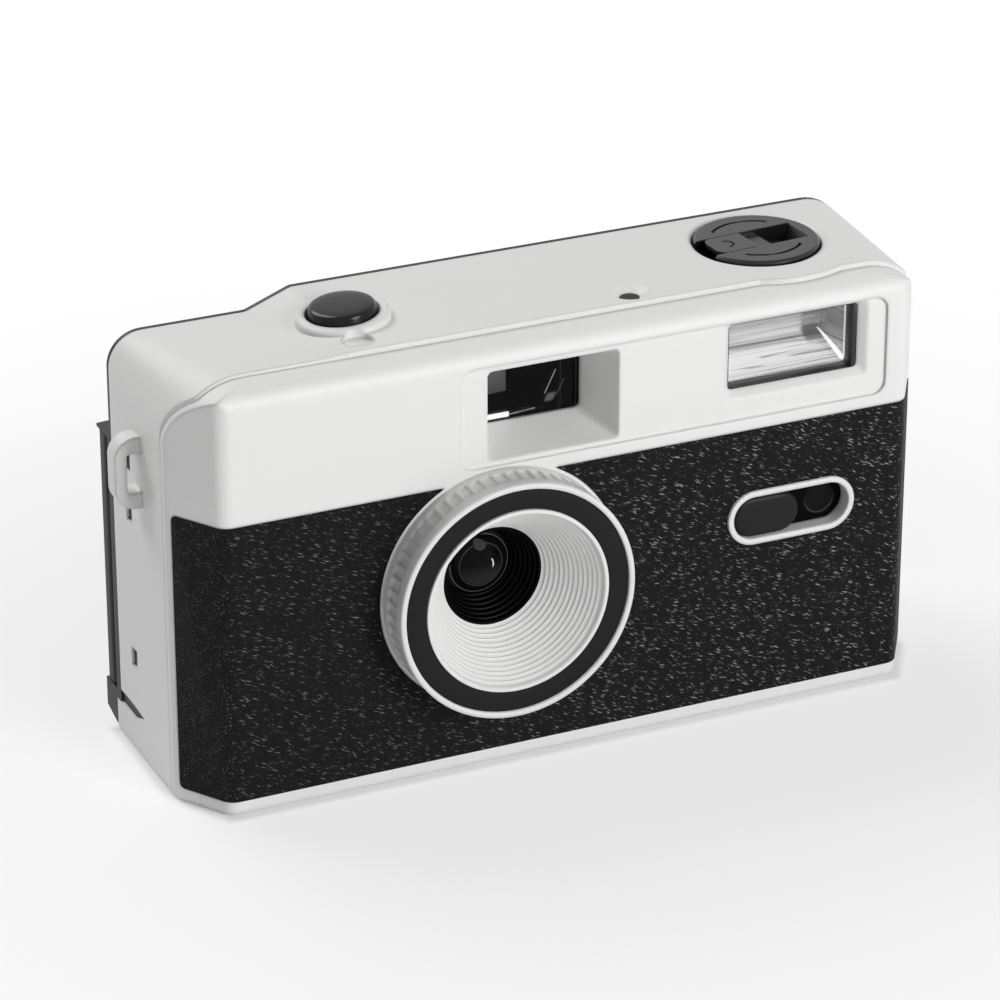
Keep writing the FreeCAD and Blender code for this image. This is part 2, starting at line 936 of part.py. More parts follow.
def make_shutter_blade():
    pivot = blade_pivot()
    y0 = blade_y()
    y1 = y0 + blade_thickness
    half_arm = blade_arm / 2
    disc = facing(aperture_radius + blade_overlap, y0, y1)
    arm = slab_y([(lens_x, lens_z - half_arm, 0), (pivot.x, pivot.z - blade_eye, 0),
                  (pivot.x, pivot.z + blade_eye, 0), (lens_x, lens_z + half_arm, 0)], y0, y1)
    eye = rod(blade_eye, V(pivot.x, y0, pivot.z), V(pivot.x, y1, pivot.z))
    tail = slab_y([(pivot.x - blade_pin, pivot.z, 0), (pivot.x + blade_pin, pivot.z, 0),
                   (pivot.x + blade_pin, pivot.z + blade_tail, 0),
                   (pivot.x, pivot.z + blade_tail, 0)], y0, y1)
    hole = rod(blade_pin + pin_gap, V(pivot.x, y0 - 1, pivot.z), V(pivot.x, y1 + 1, pivot.z))
    return disc.fuse([arm, eye, tail]).cut(hole).removeSplitter()


def barrel_back_y():
    return blade_y() + blade_thickness + blade_gap


def make_shutter_housing():
    # A shallow drum behind the lens that carries the blade's pin and the rear lens.
    front = lens_seat_y() + front_lens_edge
    back = barrel_back_y() + rear_lens_edge
    wide = barrel_radius()
    drum = facing(wide, front, back)
    drum = drum.cut(facing(cone_rear + cone_wall, front - 1, front + aperture_thickness))
    drum = drum.cut(facing(wide - barrel_wall, front + aperture_thickness, barrel_back_y()))
    drum = drum.cut(facing(rear_lens_radius, front, back + 1))
    pivot = blade_pivot()
    pin = rod(blade_pin, V(pivot.x, front + aperture_thickness, pivot.z),
              V(pivot.x, back, pivot.z))
    return drum.fuse(pin)


def make_rear_lens():
    y0 = barrel_back_y()
    return facing(rear_lens_radius, y0, y0 + rear_lens_edge).fuse(
        dome(rear_lens_radius - rear_lens_rim, rear_lens_crown, y0 + rear_lens_edge, 1)).removeSplitter()


def make_finder_glass():
    y0 = front_y + finder_depth
    return panel_y(*grown(finder_throat(), finder_wall * 0.8), finder_round, y0, y0 + finder_glass)


def eyepiece_rect(grow):
    cx = (finder_left + finder_right) / 2
    cz = (finder_bottom + finder_top) / 2
    return (cx - eyepiece_width / 2 - grow, cx + eyepiece_width / 2 + grow,
            cz - eyepiece_height / 2 - grow, cz + eyepiece_height / 2 + grow)


def make_finder_tunnel():
    y0 = front_y + finder_depth
    inside = grown(finder_throat(), -tunnel_ledge)
    outside = grown(finder_throat(), finder_wall)
    body = funnel(outside, eyepiece_rect(finder_wall), y0, case_back_y, finder_round)
    body = body.cut(funnel(inside, eyepiece_rect(-tunnel_ledge), y0, case_back_y, finder_round))
    return body.cut(make_finder_glass())


def make_eyepiece():
    rect = eyepiece_rect(0.0)
    y1 = cover_back_y - eyepiece_set
    glass = panel_y(*rect, finder_round, case_back_y, y1)
    hollow = panel_y(*grown(rect, -eyepiece_rim), finder_round, y1 - eyepiece_dish, y1 + 1)
    return glass.cut(hollow)


def flash_rect(grow):
    return (flash_left - grow, flash_right + grow, flash_bottom - grow, flash_top + grow)


def window_y():
    return front_y + window_set


def make_flash_gasket():
    y0 = front_y + gasket_set
    outer = panel_y(*flash_rect(0), flash_round, y0, y0 + gasket_depth)
    return outer.cut(panel_y(*flash_rect(-gasket_width), flash_round, y0 - 1,
                             y0 + gasket_depth + 1))


def make_flash_window():
    # A clear pane with fine horizontal prism grooves in its back.
    y0 = window_y()
    back = y0 + window_thickness
    pane = panel_y(*flash_rect(-gasket_width), flash_round, y0, back)
    pitch = (flash_top - flash_bottom - 2 * gasket_width) / window_lines
    for i in range(1, window_lines):
        z = flash_bottom + gasket_width + i * pitch
        groove = [(back + 0.1, z - spring_leaf, 0), (back + 0.1, z + spring_leaf, 0),
                  (back - spring_leaf, z, 0)]
        pane = pane.cut(slab_x(groove, flash_left, flash_right))
    return pane


def reflector_wires(shrink):
    mouth_y = front_y + gasket_set + gasket_depth
    mouth = grown(flash_rect(-0.2), -shrink)
    throat = (mouth[0] + reflector_end, mouth[1] - reflector_end, mouth[2] + reflector_floor,
              mouth[3] - reflector_roof)
    waist = (mouth[0] + reflector_end * 0.35, mouth[1] - reflector_end * 0.35,
             mouth[2] + reflector_floor * 0.75, mouth[3] - reflector_roof * 0.3)
    depth = reflector_depth - shrink
    return [rounded(frame_corners(*mouth, 0), at_y(mouth_y)),
            rounded(frame_corners(*waist, 0), at_y(mouth_y + depth * 0.45)),
            rounded(frame_corners(*throat, 0), at_y(mouth_y + depth))]


def make_reflector():
    shell = Part.makeLoft(reflector_wires(0.0), True, True)
    bowl = Part.makeLoft(reflector_wires(reflector_wall), True, True)
    shell = shell.cut(bowl)
    return shell.cut(flash_tube_rod(tube_radius + pin_gap))


def flash_tube_rod(radius):
    y = front_y + gasket_set + gasket_depth + reflector_depth * 0.62
    z = (flash_bottom + flash_top) / 2 + tube_rise
    return rod(radius, V(flash_left + tube_end, y, z), V(flash_right - tube_end, y, z))


def make_flash_tube():
    return flash_tube_rod(tube_radius)


def make_flash_board():
    x0 = flash_left - board_from_flash
    return box(x0, x0 + board_thickness, seam_y + board_from_flash, case_back_y - case_wall,
               bridge_top, ceiling - hub_gap)


def make_capacitor():
    x0 = flash_left - board_from_flash + board_thickness
    z = chassis_top + capacitor_radius
    y = case_back_y - capacitor_radius - capacitor_gap
    can = rod(capacitor_radius, V(x0, y, z), V(x0 + capacitor_length, y, z))
    ends = [e for e in can.Edges if e.Closed]
    return can.makeChamfer(capacitor_chamfer, ends)


def make_switch_plate():
    y0 = front_y + switch_floor_set
    return stadium(-switch_rim, y0, y0 + switch_plate)


def make_flash_switch():
    high = switch_height / 2 - switch_rim - slider_gap
    x0 = switch_x - switch_length / 2 + switch_rim + slider_gap
    y0 = front_y - switch_rim_proud + slider_set
    pill = panel_y(x0, x0 + slider_length, switch_z - high, switch_z + high, high - 0.001, y0,
                   front_y + switch_floor_set - slider_set * 0.2)
    front_edges = [e for e in pill.Edges if e.BoundBox.YMax < y0 + 0.01]
    return pill.makeChamfer(slider_chamfer, front_edges)


def button_place(shape):
    # The button and its collar lean with the slope of the case's shutter end.
    shape.rotate(V(button_x, button_y, body_height), V(0, 1, 0), -button_tilt)
    return shape


def make_shutter_button():
    bottom = button_top - button_cap
    edge = button_top - button_crown
    cap = spindle([(0, well_floor - stem_length), (stem_radius, well_floor - stem_length),
                   (stem_radius, bottom), (button_radius, bottom),
                   (button_radius, edge - button_shoulder * 0.4),
                   (button_radius - button_shoulder * 0.35, edge),
                   (button_radius - button_shoulder, edge + button_crown * 0.4),
                   (button_radius * 0.45, edge + button_crown * 0.9), (0, button_top)],
                  button_x, button_y)
    return button_place(cap)


def coil(radius, wire, rise, turns, x, y, z0):
    # A wound spring: square wire sections set round a helix and lofted together.
    steps = turns * 12
    sections = []
    for i in range(steps + 1):
        angle = 2 * math.pi * i * turns / steps
        z = z0 + wire + rise * i / steps
        spots = []
        for r, dz in ((-wire, -wire), (wire, -wire), (wire, wire), (-wire, wire)):
            spots.append(V(x + (radius + r) * math.cos(angle), y + (radius + r) * math.sin(angle),
                           z + dz))
        sections.append(Part.makePolygon(spots + spots[:1]))
    return Part.makeLoft(sections, True, True)


def make_button_spring():
    # Turns of wire between the well's floor and the cap.
    free = button_top - button_cap - well_floor
    rise = free - 3 * spring_wire
    return button_place(coil(button_radius - spring_inset, spring_wire, rise, spring_turns,
                             button_x, button_y, well_floor + spring_wire * 0.25))


def knob_place(shape):
    shape.rotate(V(cassette_x, cassette_y, 0), V(0, 0, 1), band_turn)
    return shape


def crank_hinge_x():
    return cassette_x - crank_inset


def crank_hinge_z():
    return knob_top - crank_thickness / 2


def make_rewind_knob():
    bottom = knob_top - knob_skirt
    knob = post(knob_radius, cassette_x, cassette_y, bottom, knob_top)
    knob = knob.makeChamfer(knob_chamfer, [e for e in knob.Edges
                                           if e.BoundBox.ZMin > knob_top - 0.01])
    w = band_width / 2 + band_gap
    ledge = cassette_x + ledge_reach
    channel = box(cassette_x - far, ledge, cassette_y - w, cassette_y + w,
                  knob_top - band_depth, far)
    end = cassette_x + knob_radius - pocket_wall
    floor = knob_top - pocket_depth
    pocket = slab_y([(ledge - 1, floor, 0), (end - pocket_slope, floor, 0),
                     (end, knob_top + 1, 0), (ledge - 1, knob_top + 1, 0)],
                    cassette_y - w, cassette_y + w)
    knob = knob.cut(channel).cut(pocket)
    step = box(crank_hinge_x() + crank_thickness / 2 + band_gap, ledge, cassette_y - w,
               cassette_y + w, knob_top - band_depth - 0.1, knob_top - ledge_drop)
    knob = knob.fuse(step)
    for side in (-1, 1):
        groove = post(groove_radius, cassette_x, cassette_y, knob_top - groove_depth, far)
        groove = groove.cut(post(groove_radius - groove_width, cassette_x, cassette_y, 0, far))
        keep = box(cassette_x - groove_half, cassette_x + groove_half,
                   *sorted([cassette_y + side * (w + 1), cassette_y + side * far]), 0, far)
        knob = knob.cut(groove.common(keep))
    seat = w + crank_pin_seat
    hinge = rod(crank_pin_radius, V(crank_hinge_x(), cassette_y - seat, crank_hinge_z()),
                V(crank_hinge_x(), cassette_y + seat, crank_hinge_z()))
    shaft = post(shaft_radius, cassette_x, cassette_y, chamber_top - fork_drop, bottom + 0.1)
    return knob_place(knob.cut(hinge).fuse(shaft).removeSplitter())


def make_rewind_crank():
    # A tab that lies in the channel with its free end to the shutter side, and a
    # barrel at its hinge end, so that it stands up as a handle.
    w = band_width / 2 - band_gap
    x0 = crank_hinge_x() - crank_reach
    z0 = knob_top - crank_thickness
    flap = slab_z([(x0, cassette_y - w, crank_corner), (crank_hinge_x(), cassette_y - w, 0),
                   (crank_hinge_x(), cassette_y + w, 0), (x0, cassette_y + w, crank_corner)],
                  z0, knob_top)
    lip = slab_y([(x0 - 1, z0 - 1, 0), (x0 + crank_lip, z0 - 1, 0), (x0 + crank_lip, z0, 0),
                  (x0, z0 + crank_thickness * 0.6, 0), (x0 - 1, z0 + crank_thickness * 0.6, 0)],
                 -far, far)
    barrel = rod(crank_thickness / 2, V(crank_hinge_x(), cassette_y - w, crank_hinge_z()),
                 V(crank_hinge_x(), cassette_y + w, crank_hinge_z()))
    flap = flap.cut(lip).fuse(barrel)
    mark_x = x0 + mark_place
    mark = post(mark_radius, mark_x, cassette_y, knob_top - mark_depth, far)
    mark = mark.cut(post(mark_radius - mark_width, mark_x, cassette_y, 0, far))
    flap = flap.cut(mark.common(box(mark_x, far, -far, far, 0, far)))
    bore = rod(crank_pin_radius + pin_gap,
               V(crank_hinge_x(), cassette_y - w - 1, crank_hinge_z()),
               V(crank_hinge_x(), cassette_y + w + 1, crank_hinge_z()))
    return knob_place(flap.cut(bore))


def make_crank_pin():
    seat = band_width / 2 + band_gap + crank_pin_seat
    return knob_place(rod(crank_pin_radius, V(crank_hinge_x(), cassette_y - seat, crank_hinge_z()),
                          V(crank_hinge_x(), cassette_y + seat, crank_hinge_z())))


def make_rewind_collar():
    z0 = chassis_top + base_gap
    ring = post(collar_ring_radius, cassette_x, cassette_y, z0, z0 + collar_ring_height)
    return ring.cut(post(shaft_radius + pin_gap, cassette_x, cassette_y, 0, far))


def make_rewind_fork():
    top = chamber_top - fork_drop
    bottom = top - fork_height
    fork = post(shaft_radius, cassette_x, cassette_y, bottom, top)
    slot = box(cassette_x - far, cassette_x + far, cassette_y - fork_slot / 2,
               cassette_y + fork_slot / 2, bottom - 1, top - fork_web)
    tip = [e for e in fork.Edges if e.BoundBox.ZMax < bottom + 0.01]
    return fork.makeChamfer(fork_chamfer, tip).cut(slot)


def gate_rect(grow):
    return (lens_x - gate_width / 2 - grow, lens_x + gate_width / 2 + grow,
            lens_z - gate_height / 2 - grow, lens_z + gate_height / 2 + grow)


def shaft_holes():
    # Bores that the shafts, the release button and the screws share.
    holes = [post(sprocket_radius + tooth_height + sprocket_room, sprocket_x, sprocket_y,
                  sprocket_z - sprocket_width / 2 - tooth_set,
                  sprocket_z + sprocket_width / 2 + tooth_set),
             post(sprocket_shaft + pin_gap, sprocket_x, sprocket_y,
                  sprocket_z - sprocket_width / 2 - sprocket_tail - tooth_set, far),
             post(release_radius + slide_gap, sprocket_x, sprocket_y, 0,
                  base_wall + release_proud + release_travel + hub_gap)]
    for x, z in screw_spots():
        holes.append(rod(screw_radius + screw_gap, V(x, rail_y - rail_height - screw_head, z),
                         V(x, far, z)))
        holes.append(rod(screw_radius / 2 + screw_gap, V(x, screw_shank_y, z), V(x, far, z)))
    return holes


def tunnel_box():
    gate = gate_rect(tunnel_wall)
    return box(gate[0], gate[1], tunnel_front(), far, gate[2], gate[3])


def tunnel_front():
    return barrel_back_y() + rear_lens_edge


def holder_box():
    reach = battery_room / 2 + holder_wall
    return box(battery_x - reach, well_split_x, holder_front, battery_y + reach, base_wall,
               bridge_top)


def make_chassis():
    # The middle of the chassis, between the two film chambers, with the film rails.
    face_y = rail_y - rail_height
    block = box(spool_split_x, well_split_x, chassis_front, face_y, base_wall, bridge_top)
    reach = rail_length / 2
    for side in (-1, 1):
        outer = lens_z + side * (film_width / 2 + outer_rail_gap)
        inner = lens_z + side * (gate_height / 2 + inner_rail_gap)
        for z, width, top in ((outer, outer_rail_width, rail_y),
                              (inner, inner_rail_width, rail_y - inner_rail_drop)):
            block = block.fuse(box(lens_x - gate_width / 2, lens_x + reach, face_y - 1, top,
                                   z - width / 2, z + width / 2))
    block = block.cut(tunnel_box()).cut(holder_box())
    throat = finder_throat()
    block = block.cut(box(throat[0] - finder_wall - hub_gap, throat[1] + finder_wall + hub_gap,
                          -far, far, finder_saddle, far))
    block = block.cut(facing(barrel_radius() + blade_gap, -far, tunnel_front() + 0.01))
    return block.cut(shaft_holes()).removeSplitter()


def make_light_tunnel():
    # A dark funnel from the shutter housing to the film gate.
    shell = tunnel_box().common(box(-far, far, -far, rail_y - rail_height, 0, far))
    small = (lens_x - tunnel_width / 2, lens_x + tunnel_width / 2, lens_z - tunnel_height / 2,
             lens_z + tunnel_height / 2)
    return shell.cut(funnel(small, gate_rect(0), tunnel_front() - 0.001, rail_y, 0))


def make_cassette_well():
    # The film chamber for the cassette, open at the back, with the rewind shaft's bore.
    reach = cassette_radius + chassis_wall
    face_y = rail_y - rail_height
    well = post(reach, cassette_x, cassette_y, base_wall, chassis_top)
    well = well.fuse(box(cassette_x - reach, cassette_x + reach, cassette_y, face_y, base_wall,
                         chassis_top))
    well = well.common(box(well_split_x, far, -far, face_y, -far, far))
    well = well.cut(post(cassette_radius, cassette_x, cassette_y, chamber_bottom, chamber_top))
    well = well.cut(box(cassette_x - cassette_radius, cassette_x + cassette_radius, cassette_y,
                        far, chamber_bottom, chamber_top))
    well = well.cut(post(shaft_radius + pin_gap, cassette_x, cassette_y, chamber_top - 1, far))
    lamp_house = box(flash_left - housing_wall - hub_gap, flash_right + housing_wall + hub_gap,
                     -far, cassette_y - cassette_radius, flash_bottom - housing_wall - hub_gap, far)
    well = well.cut(lamp_house).cut(Part.makeLoft(reflector_wires(-spring_leaf), True, True))
    return well.removeSplitter()


def make_take_up_well():
    # The film chamber for the take-up spool, open at the back.
    left = take_up_x - take_up_radius - chassis_wall
    well = box(left, spool_split_x, chassis_front, rail_y - rail_height, base_wall, chassis_top)
    well = well.cut(post(take_up_radius, take_up_x, take_up_y, chamber_bottom, chamber_top))
    well = well.cut(box(take_up_x - take_up_radius, take_up_x + take_up_radius, take_up_y, far,
                        chamber_bottom, chamber_top))
    well = well.cut(tunnel_box())
    return well.cut(post(spool_shaft + pin_gap, take_up_x, take_up_y, base_wall + 0.6, far))


def make_battery_holder():
    # A square channel for one cell, open to the front and to the battery door below.
    reach = battery_room / 2
    holder = holder_box()
    holder = holder.cut(box(battery_x - reach, battery_x + reach, -far, battery_y + reach, 0,
                            battery_top))
    return holder.cut(shaft_holes()).removeSplitter()


def screw_spots():
    left = spool_split_x + screw_radius * 2
    right = well_split_x - screw_radius * 2
    low = lens_z - film_width / 2 - screw_radius * 2
    high = bridge_top - screw_radius * 1.3
    return [(left, low), (left, high), (right, low), (right, high)]


def make_screws():
    group = []
    reach = screw_radius * 0.75
    slot = screw_slot / 2
    for x, z in screw_spots():
        seat = rail_y - rail_height - screw_head
        head = rod(screw_radius, V(x, seat, z), V(x, seat + screw_head, z))
        cross = box(x - reach, x + reach, seat + screw_slot_depth, far, z - slot, z + slot)
        cross = cross.fuse(box(x - slot, x + slot, seat + screw_slot_depth, far, z - reach,
                               z + reach))
        shank = rod(screw_radius / 2, V(x, screw_shank_y, z), V(x, seat + 0.1, z))
        group.append(head.fuse(shank).cut(cross).removeSplitter())
    return Part.makeCompound(group)


def make_sprocket():
    z0 = sprocket_z - sprocket_width / 2
    z1 = sprocket_z + sprocket_width / 2
    root = sprocket_radius - tooth_height / 2
    tip = sprocket_radius + tooth_height / 2
    wheel = post(root, sprocket_x, sprocket_y, z0, z1)
    for i in range(sprocket_teeth):
        tooth = slab_z([(-tooth_root / 2, 0, 0), (tooth_root / 2, 0, 0), (tooth_tip / 2, tip, 0),
                        (-tooth_tip / 2, tip, 0)], z0 + tooth_set, z1 - tooth_set)
        tooth.rotate(V(0, 0, 0), V(0, 0, 1), 360.0 / sprocket_teeth * (i + 0.5))
        tooth.translate(V(sprocket_x, sprocket_y, 0))
        wheel = wheel.fuse(tooth)
    finger_z = disc_top - disc_thickness - ratchet_height
    shaft = post(sprocket_shaft, sprocket_x, sprocket_y, z0 - sprocket_tail,
                 finger_z + finger_thickness)
    finger = slab_z([(-finger_thickness, 0, 0), (finger_thickness, 0, 0),
                     (finger_thickness / 3, finger_reach, 0),
                     (-finger_thickness / 3, finger_reach, 0)], finger_z,
                    finger_z + finger_thickness)
    finger.translate(V(sprocket_x, sprocket_y, 0))
    return wheel.fuse([shaft, finger]).removeSplitter()


def make_counter_disc():
    z0 = disc_top - disc_thickness
    disc = post(disc_radius, disc_x, disc_y, z0, disc_top)
    pitch = 2 * math.pi / ratchet_teeth
    points = []
    for i in range(ratchet_teeth):
        for turn, radius in ((0.0, ratchet_radius), (0.2, ratchet_radius - ratchet_depth)):
            angle = (i + turn) * pitch
            points.append(V(disc_x + radius * math.cos(angle), disc_y + radius * math.sin(angle),
                            z0 - ratchet_height))
    ratchet = Part.Face(Part.makePolygon(points + points[:1])).extrude(V(0, 0, ratchet_height))
    hub = post(disc_hub, disc_x, disc_y, disc_top, ceiling - hub_gap)
    return disc.fuse([ratchet, hub]).removeSplitter()


def make_counter_window():
    return post(counter_hole, counter_x, counter_y, ceiling, body_height - counter_depth)


def make_take_up_spool():
    z0 = chamber_bottom + spool_end_gap
    z1 = chamber_top - spool_end_gap
    core = post(spool_radius, take_up_x, take_up_y, z0, z1)
    for z in (z0, z1 - spool_flange_thickness):
        core = core.fuse(post(spool_radius + spool_flange, take_up_x, take_up_y, z,
                              z + spool_flange_thickness))
    slot = box(take_up_x - spool_slot / 2, take_up_x + spool_slot / 2, take_up_y - far,
               take_up_y + far, lens_z - film_width / 2, lens_z + film_width / 2)
    core = core.cut(slot.cut(post(spool_radius - spool_slot_depth, take_up_x, take_up_y, 0, far)))
    shaft = post(spool_shaft, take_up_x, take_up_y, base_wall + 0.8, wheel_bottom + spool_drive)
    return core.fuse(shaft).removeSplitter()


def make_advance_wheel():
    pitch = 2 * math.pi / wheel_notches
    points = []
    for i in range(wheel_notches):
        for turn, radius in ((0.0, wheel_radius), (0.45, wheel_radius),
                             (0.72, wheel_radius - notch_depth)):
            angle = (i + turn) * pitch
            points.append(V(wheel_x + radius * math.cos(angle),
                            wheel_y + radius * math.sin(angle), wheel_bottom))
    wheel = Part.Face(Part.makePolygon(points + points[:1])).extrude(V(0, 0, wheel_height))
    hub = post(wheel_hub, wheel_x, wheel_y, wheel_bottom + wheel_height, low_ceiling - hub_gap)
    bore = post(spool_shaft + pin_gap, wheel_x, wheel_y, wheel_bottom - 1,
                wheel_bottom + spool_drive + hub_gap)
    return wheel.fuse(hub).cut(bore)


def cover_profile(y):
    return case_profile(y, dip_left_back, back_round_left, back_round_right)


def door_outline(grow):
    # The film door is taller over the cassette, so the spool can be dropped in.
    step = door_step_x - grow
    end = half - door_end_inset + grow
    return [(-end, door_bottom - grow, 0), (step, door_bottom - grow, door_corner),
            (step, door_low - grow, door_corner), (end, door_low - grow, 0),
            (end, door_high + grow, 0), (step, door_high + grow, door_corner),
            (step, door_top + grow, door_corner), (-end, door_top + grow, 0)]


def opening_outline(grow):
    step = door_step_x + opening_inset - grow
    end = half - opening_side + grow
    low = door_bottom + opening_inset - grow
    high = door_top - opening_inset + grow
    deep = door_low + opening_inset / 2 - grow
    tall = door_high - opening_inset + grow
    spots = [(-end, low), (step, low), (step, deep), (end, deep), (end, tall), (step, tall),
             (step, high), (-end, high)]
    return [(x, z, opening_corner) for x, z in spots]


def surround():
    # The raised frame above and below the door; its top slopes down to the back.
    def edge(head, foot):
        step = door_step_x - head
        return [(-half, foot, 0), (half, foot, 0), (half, door_high + head, 0),
                (step, door_high + head, opening_corner), (step, door_top + head, opening_corner),
                (-half, door_top + head, 0)]

    head = door_gap + brow_height
    plain = slab_y(edge(head, chin_bottom), case_back_y, cover_back_y)
    wires = [rounded(edge(head, chin_bottom), at_y(cover_back_y)),
             rounded(edge(head - brow_slope, chin_bottom + chin_slope), at_y(door_back_y))]
    return plain.fuse(Part.makeLoft(wires, True, True))


def make_rear_cover():
    plate = Part.Face(cover_profile(case_back_y)).extrude(V(0, cover_back_y - case_back_y, 0))
    rim = [e for e in plate.Edges
           if e.BoundBox.YMin > cover_back_y - 0.01 and e.BoundBox.ZMin > foot_round]
    plate = plate.makeChamfer(cover_edge_chamfer, rim)
    plate = plate.cut(box(-far, far, case_back_y - 1, far, -1, chin_bottom))
    cover = plate.fuse(surround())
    cover = cover.cut(box(-far, far, case_back_y - 1, foot_back_y, -1, foot_height))
    cover = cover.cut(slab_y(door_outline(door_gap), cover_back_y, far))
    cover = cover.cut(slab_y(opening_outline(0.0), case_back_y - 1, far))
    ends = half - opening_side
    room = latch_length / 2 + 0.5
    cover = cover.cut(panel_y(ends - 1, ends + hook_width + tongue_width, latch_z - room,
                              latch_z + room, 0.4, case_back_y - 1, cover_back_y + 1))
    cover = cover.cut(post(hinge_clear, hinge_x, hinge_y, door_bottom - door_gap,
                           door_top + door_gap))
    cover = cover.cut(hinge_rod())
    cover = cover.cut(panel_y(*eyepiece_rect(0.0), finder_round, case_back_y - 1, far))
    reach = case_back_y - wheel_y
    slot_half = math.sqrt(wheel_radius ** 2 - reach ** 2) + wheel_gap
    cover = cover.cut(panel_y(wheel_x - slot_half, wheel_x + slot_half, wheel_bottom - wheel_gap,
                              wheel_bottom + wheel_height + wheel_gap, finder_round,
                              case_back_y - 1, far))
    cover = cover.cut(lamp_rod(lamp_radius))
    return cover.fuse(cover_clips()).removeSplitter()


def cover_clips():
    # Arms that run forward inside the shutter end and snap into its windows, and the
    # tongue that fills the slit.
    inner = -half + case_wall + clip_gap
    group = []
    for z in clip_places:
        high = clip_height / 2 - clip_gap
        group.append(box(inner, inner + clip_arm, clip_y - clip_width / 2, case_back_y + 0.1,
                         z - high, z + high))
        group.append(clip_window(z, clip_gap, -half + clip_set, inner + clip_arm / 2))
    group.append(slit_shape(clip_gap, -half + clip_set, inner + clip_arm)
                 .common(box(-far, 0, -far, case_back_y + 0.1, 0, far)))
    return group


def lamp_rod(radius):
    rect = eyepiece_rect(0.0)
    z = (rect[2] + rect[3]) / 2
    x = rect[1] + lamp_aside
    return rod(radius, V(x, case_back_y, z), V(x, cover_back_y + lamp_proud, z))


def make_ready_lamp():
    return lamp_rod(lamp_radius)


def make_film_door():
    door = slab_y(door_outline(0.0), door_y, door_back_y)
    hinge_edges = [e for e in door.Edges if e.BoundBox.XMax < -half + door_end_inset + 0.01
                   and e.BoundBox.ZLength > 10]
    door = door.makeFillet(door_end_round, hinge_edges)
    rib = slab_y(opening_outline(-door_rib_gap), case_back_y + door_rib_set, door_y + 0.1)
    rib = rib.cut(slab_y(opening_outline(-door_rib_gap - door_rib), case_back_y - 1, far))
    end = half - opening_side - door_rib_gap
    high = tongue_height / 2
    tongue = box(end - tongue_width, end, latch_y - hook_below, door_y + 0.1, latch_z - high,
                 latch_z + high)
    high = tongue_window / 2
    tongue = tongue.cut(box(end - 2, end + 2, latch_y, latch_y + hook_width + hook_gap + 0.1,
                            latch_z - high, latch_z + high))
    door = door.fuse([rib, tongue])
    door = door.cut(post(hinge_pin_radius + pin_gap, hinge_x, hinge_y, 0, far))
    for i in range(grip_count):
        x = lens_x + grip_from_lens + i * grip_pitch
        reach = grip_height / 2
        door = door.cut(panel_y(x - grip_width / 2, x + grip_width / 2, lens_z - reach,
                                lens_z + reach, grip_width * 0.45, door_back_y - grip_depth, far))
    return door.removeSplitter()


def hinge_rod():
    return post(hinge_pin_radius, hinge_x, hinge_y, chin_bottom + pin_seat,
                door_top + door_gap + pin_head)


def make_hinge_pin():
    return hinge_rod()


def plate_y():
    return rail_y + film_channel


def make_pressure_plate():
    x0 = lens_x - pressure_width / 2
    z0 = lens_z - pressure_height / 2
    y0 = plate_y()
    plate = panel_y(x0, x0 + pressure_width, z0, z0 + pressure_height, opening_corner, y0,
                    y0 + pressure_thickness)
    for side in (-1, 1):
        x = lens_x + side * (pressure_width / 2 - pressure_stud_inset)
        stud = rod(pressure_stud, V(x, y0 + pressure_thickness, lens_z),
                   V(x, door_y - film_channel * 2.5, lens_z))
        plate = plate.fuse(stud)
    return plate.removeSplitter()


def make_pressure_spring():
    # A bowed leaf: its middle lies on the door and its two ends bear on the plate.
    near = plate_y() + pressure_thickness + spring_rise
    reach = pressure_width / 2 - spring_inset_end
    top = [V(lens_x - reach, near, 0), V(lens_x, door_y - spring_leaf, 0),
           V(lens_x + reach, near, 0)]
    low = [p.add(V(0, spring_leaf, 0)) for p in top]
    face = Part.Wire([Part.Arc(*top).toShape(), Part.LineSegment(top[2], low[2]).toShape(),
                      Part.Arc(low[2], low[1], low[0]).toShape(),
                      Part.LineSegment(low[0], top[0]).toShape()])
    leaf = Part.Face(face).extrude(V(0, 0, spring_width))
    leaf.translate(V(0, 0, lens_z - spring_width / 2))
    return leaf


def make_door_latch():
    z0 = latch_z - latch_length / 2
    z1 = latch_z + latch_length / 2
    w = latch_width / 2 - slider_gap
    inner = half - case_wall
    pad = slab_x(frame_corners(latch_y - w, latch_y + w, z0, z1, 0.4), inner - 0.2,
                 half + latch_proud)
    pitch = latch_length / (latch_grooves + 1)
    for i in range(1, latch_grooves + 1):
        z = z0 + pitch * i
        pad = pad.cut(box(half + latch_proud - latch_groove_depth, far, -far, far,
                          z - latch_groove_width / 2, z + latch_groove_width / 2))
    wide = latch_width / 2 + latch_flange * 0.8
    back = box(inner - latch_plate - 0.1, inner - 0.1, latch_y - wide, latch_y + wide,
               z0 - latch_flange, z1 + latch_flange)
    hook_x = half - opening_side - door_rib_gap + hook_gap
    hook = box(hook_x, inner - latch_plate, latch_y + 0.2, latch_y + 0.2 + hook_width,
               latch_z - hook_below - hook_height, latch_z - hook_below)
    return pad.fuse([back, hook]).removeSplitter()


def make_battery_contacts():
    bottom = battery_top - contact_thickness
    plate = box(battery_x - contact_width / 2, battery_x + contact_width / 2,
                battery_y - contact_depth / 2, battery_y + contact_depth / 2, bottom, battery_top)
    spring = coil(contact_coil, contact_wire, contact_rise, contact_turns, battery_x, battery_y,
                  bottom - contact_rise - 2 * contact_wire - contact_gap * 0.15)
    return Part.makeCompound([plate, spring])


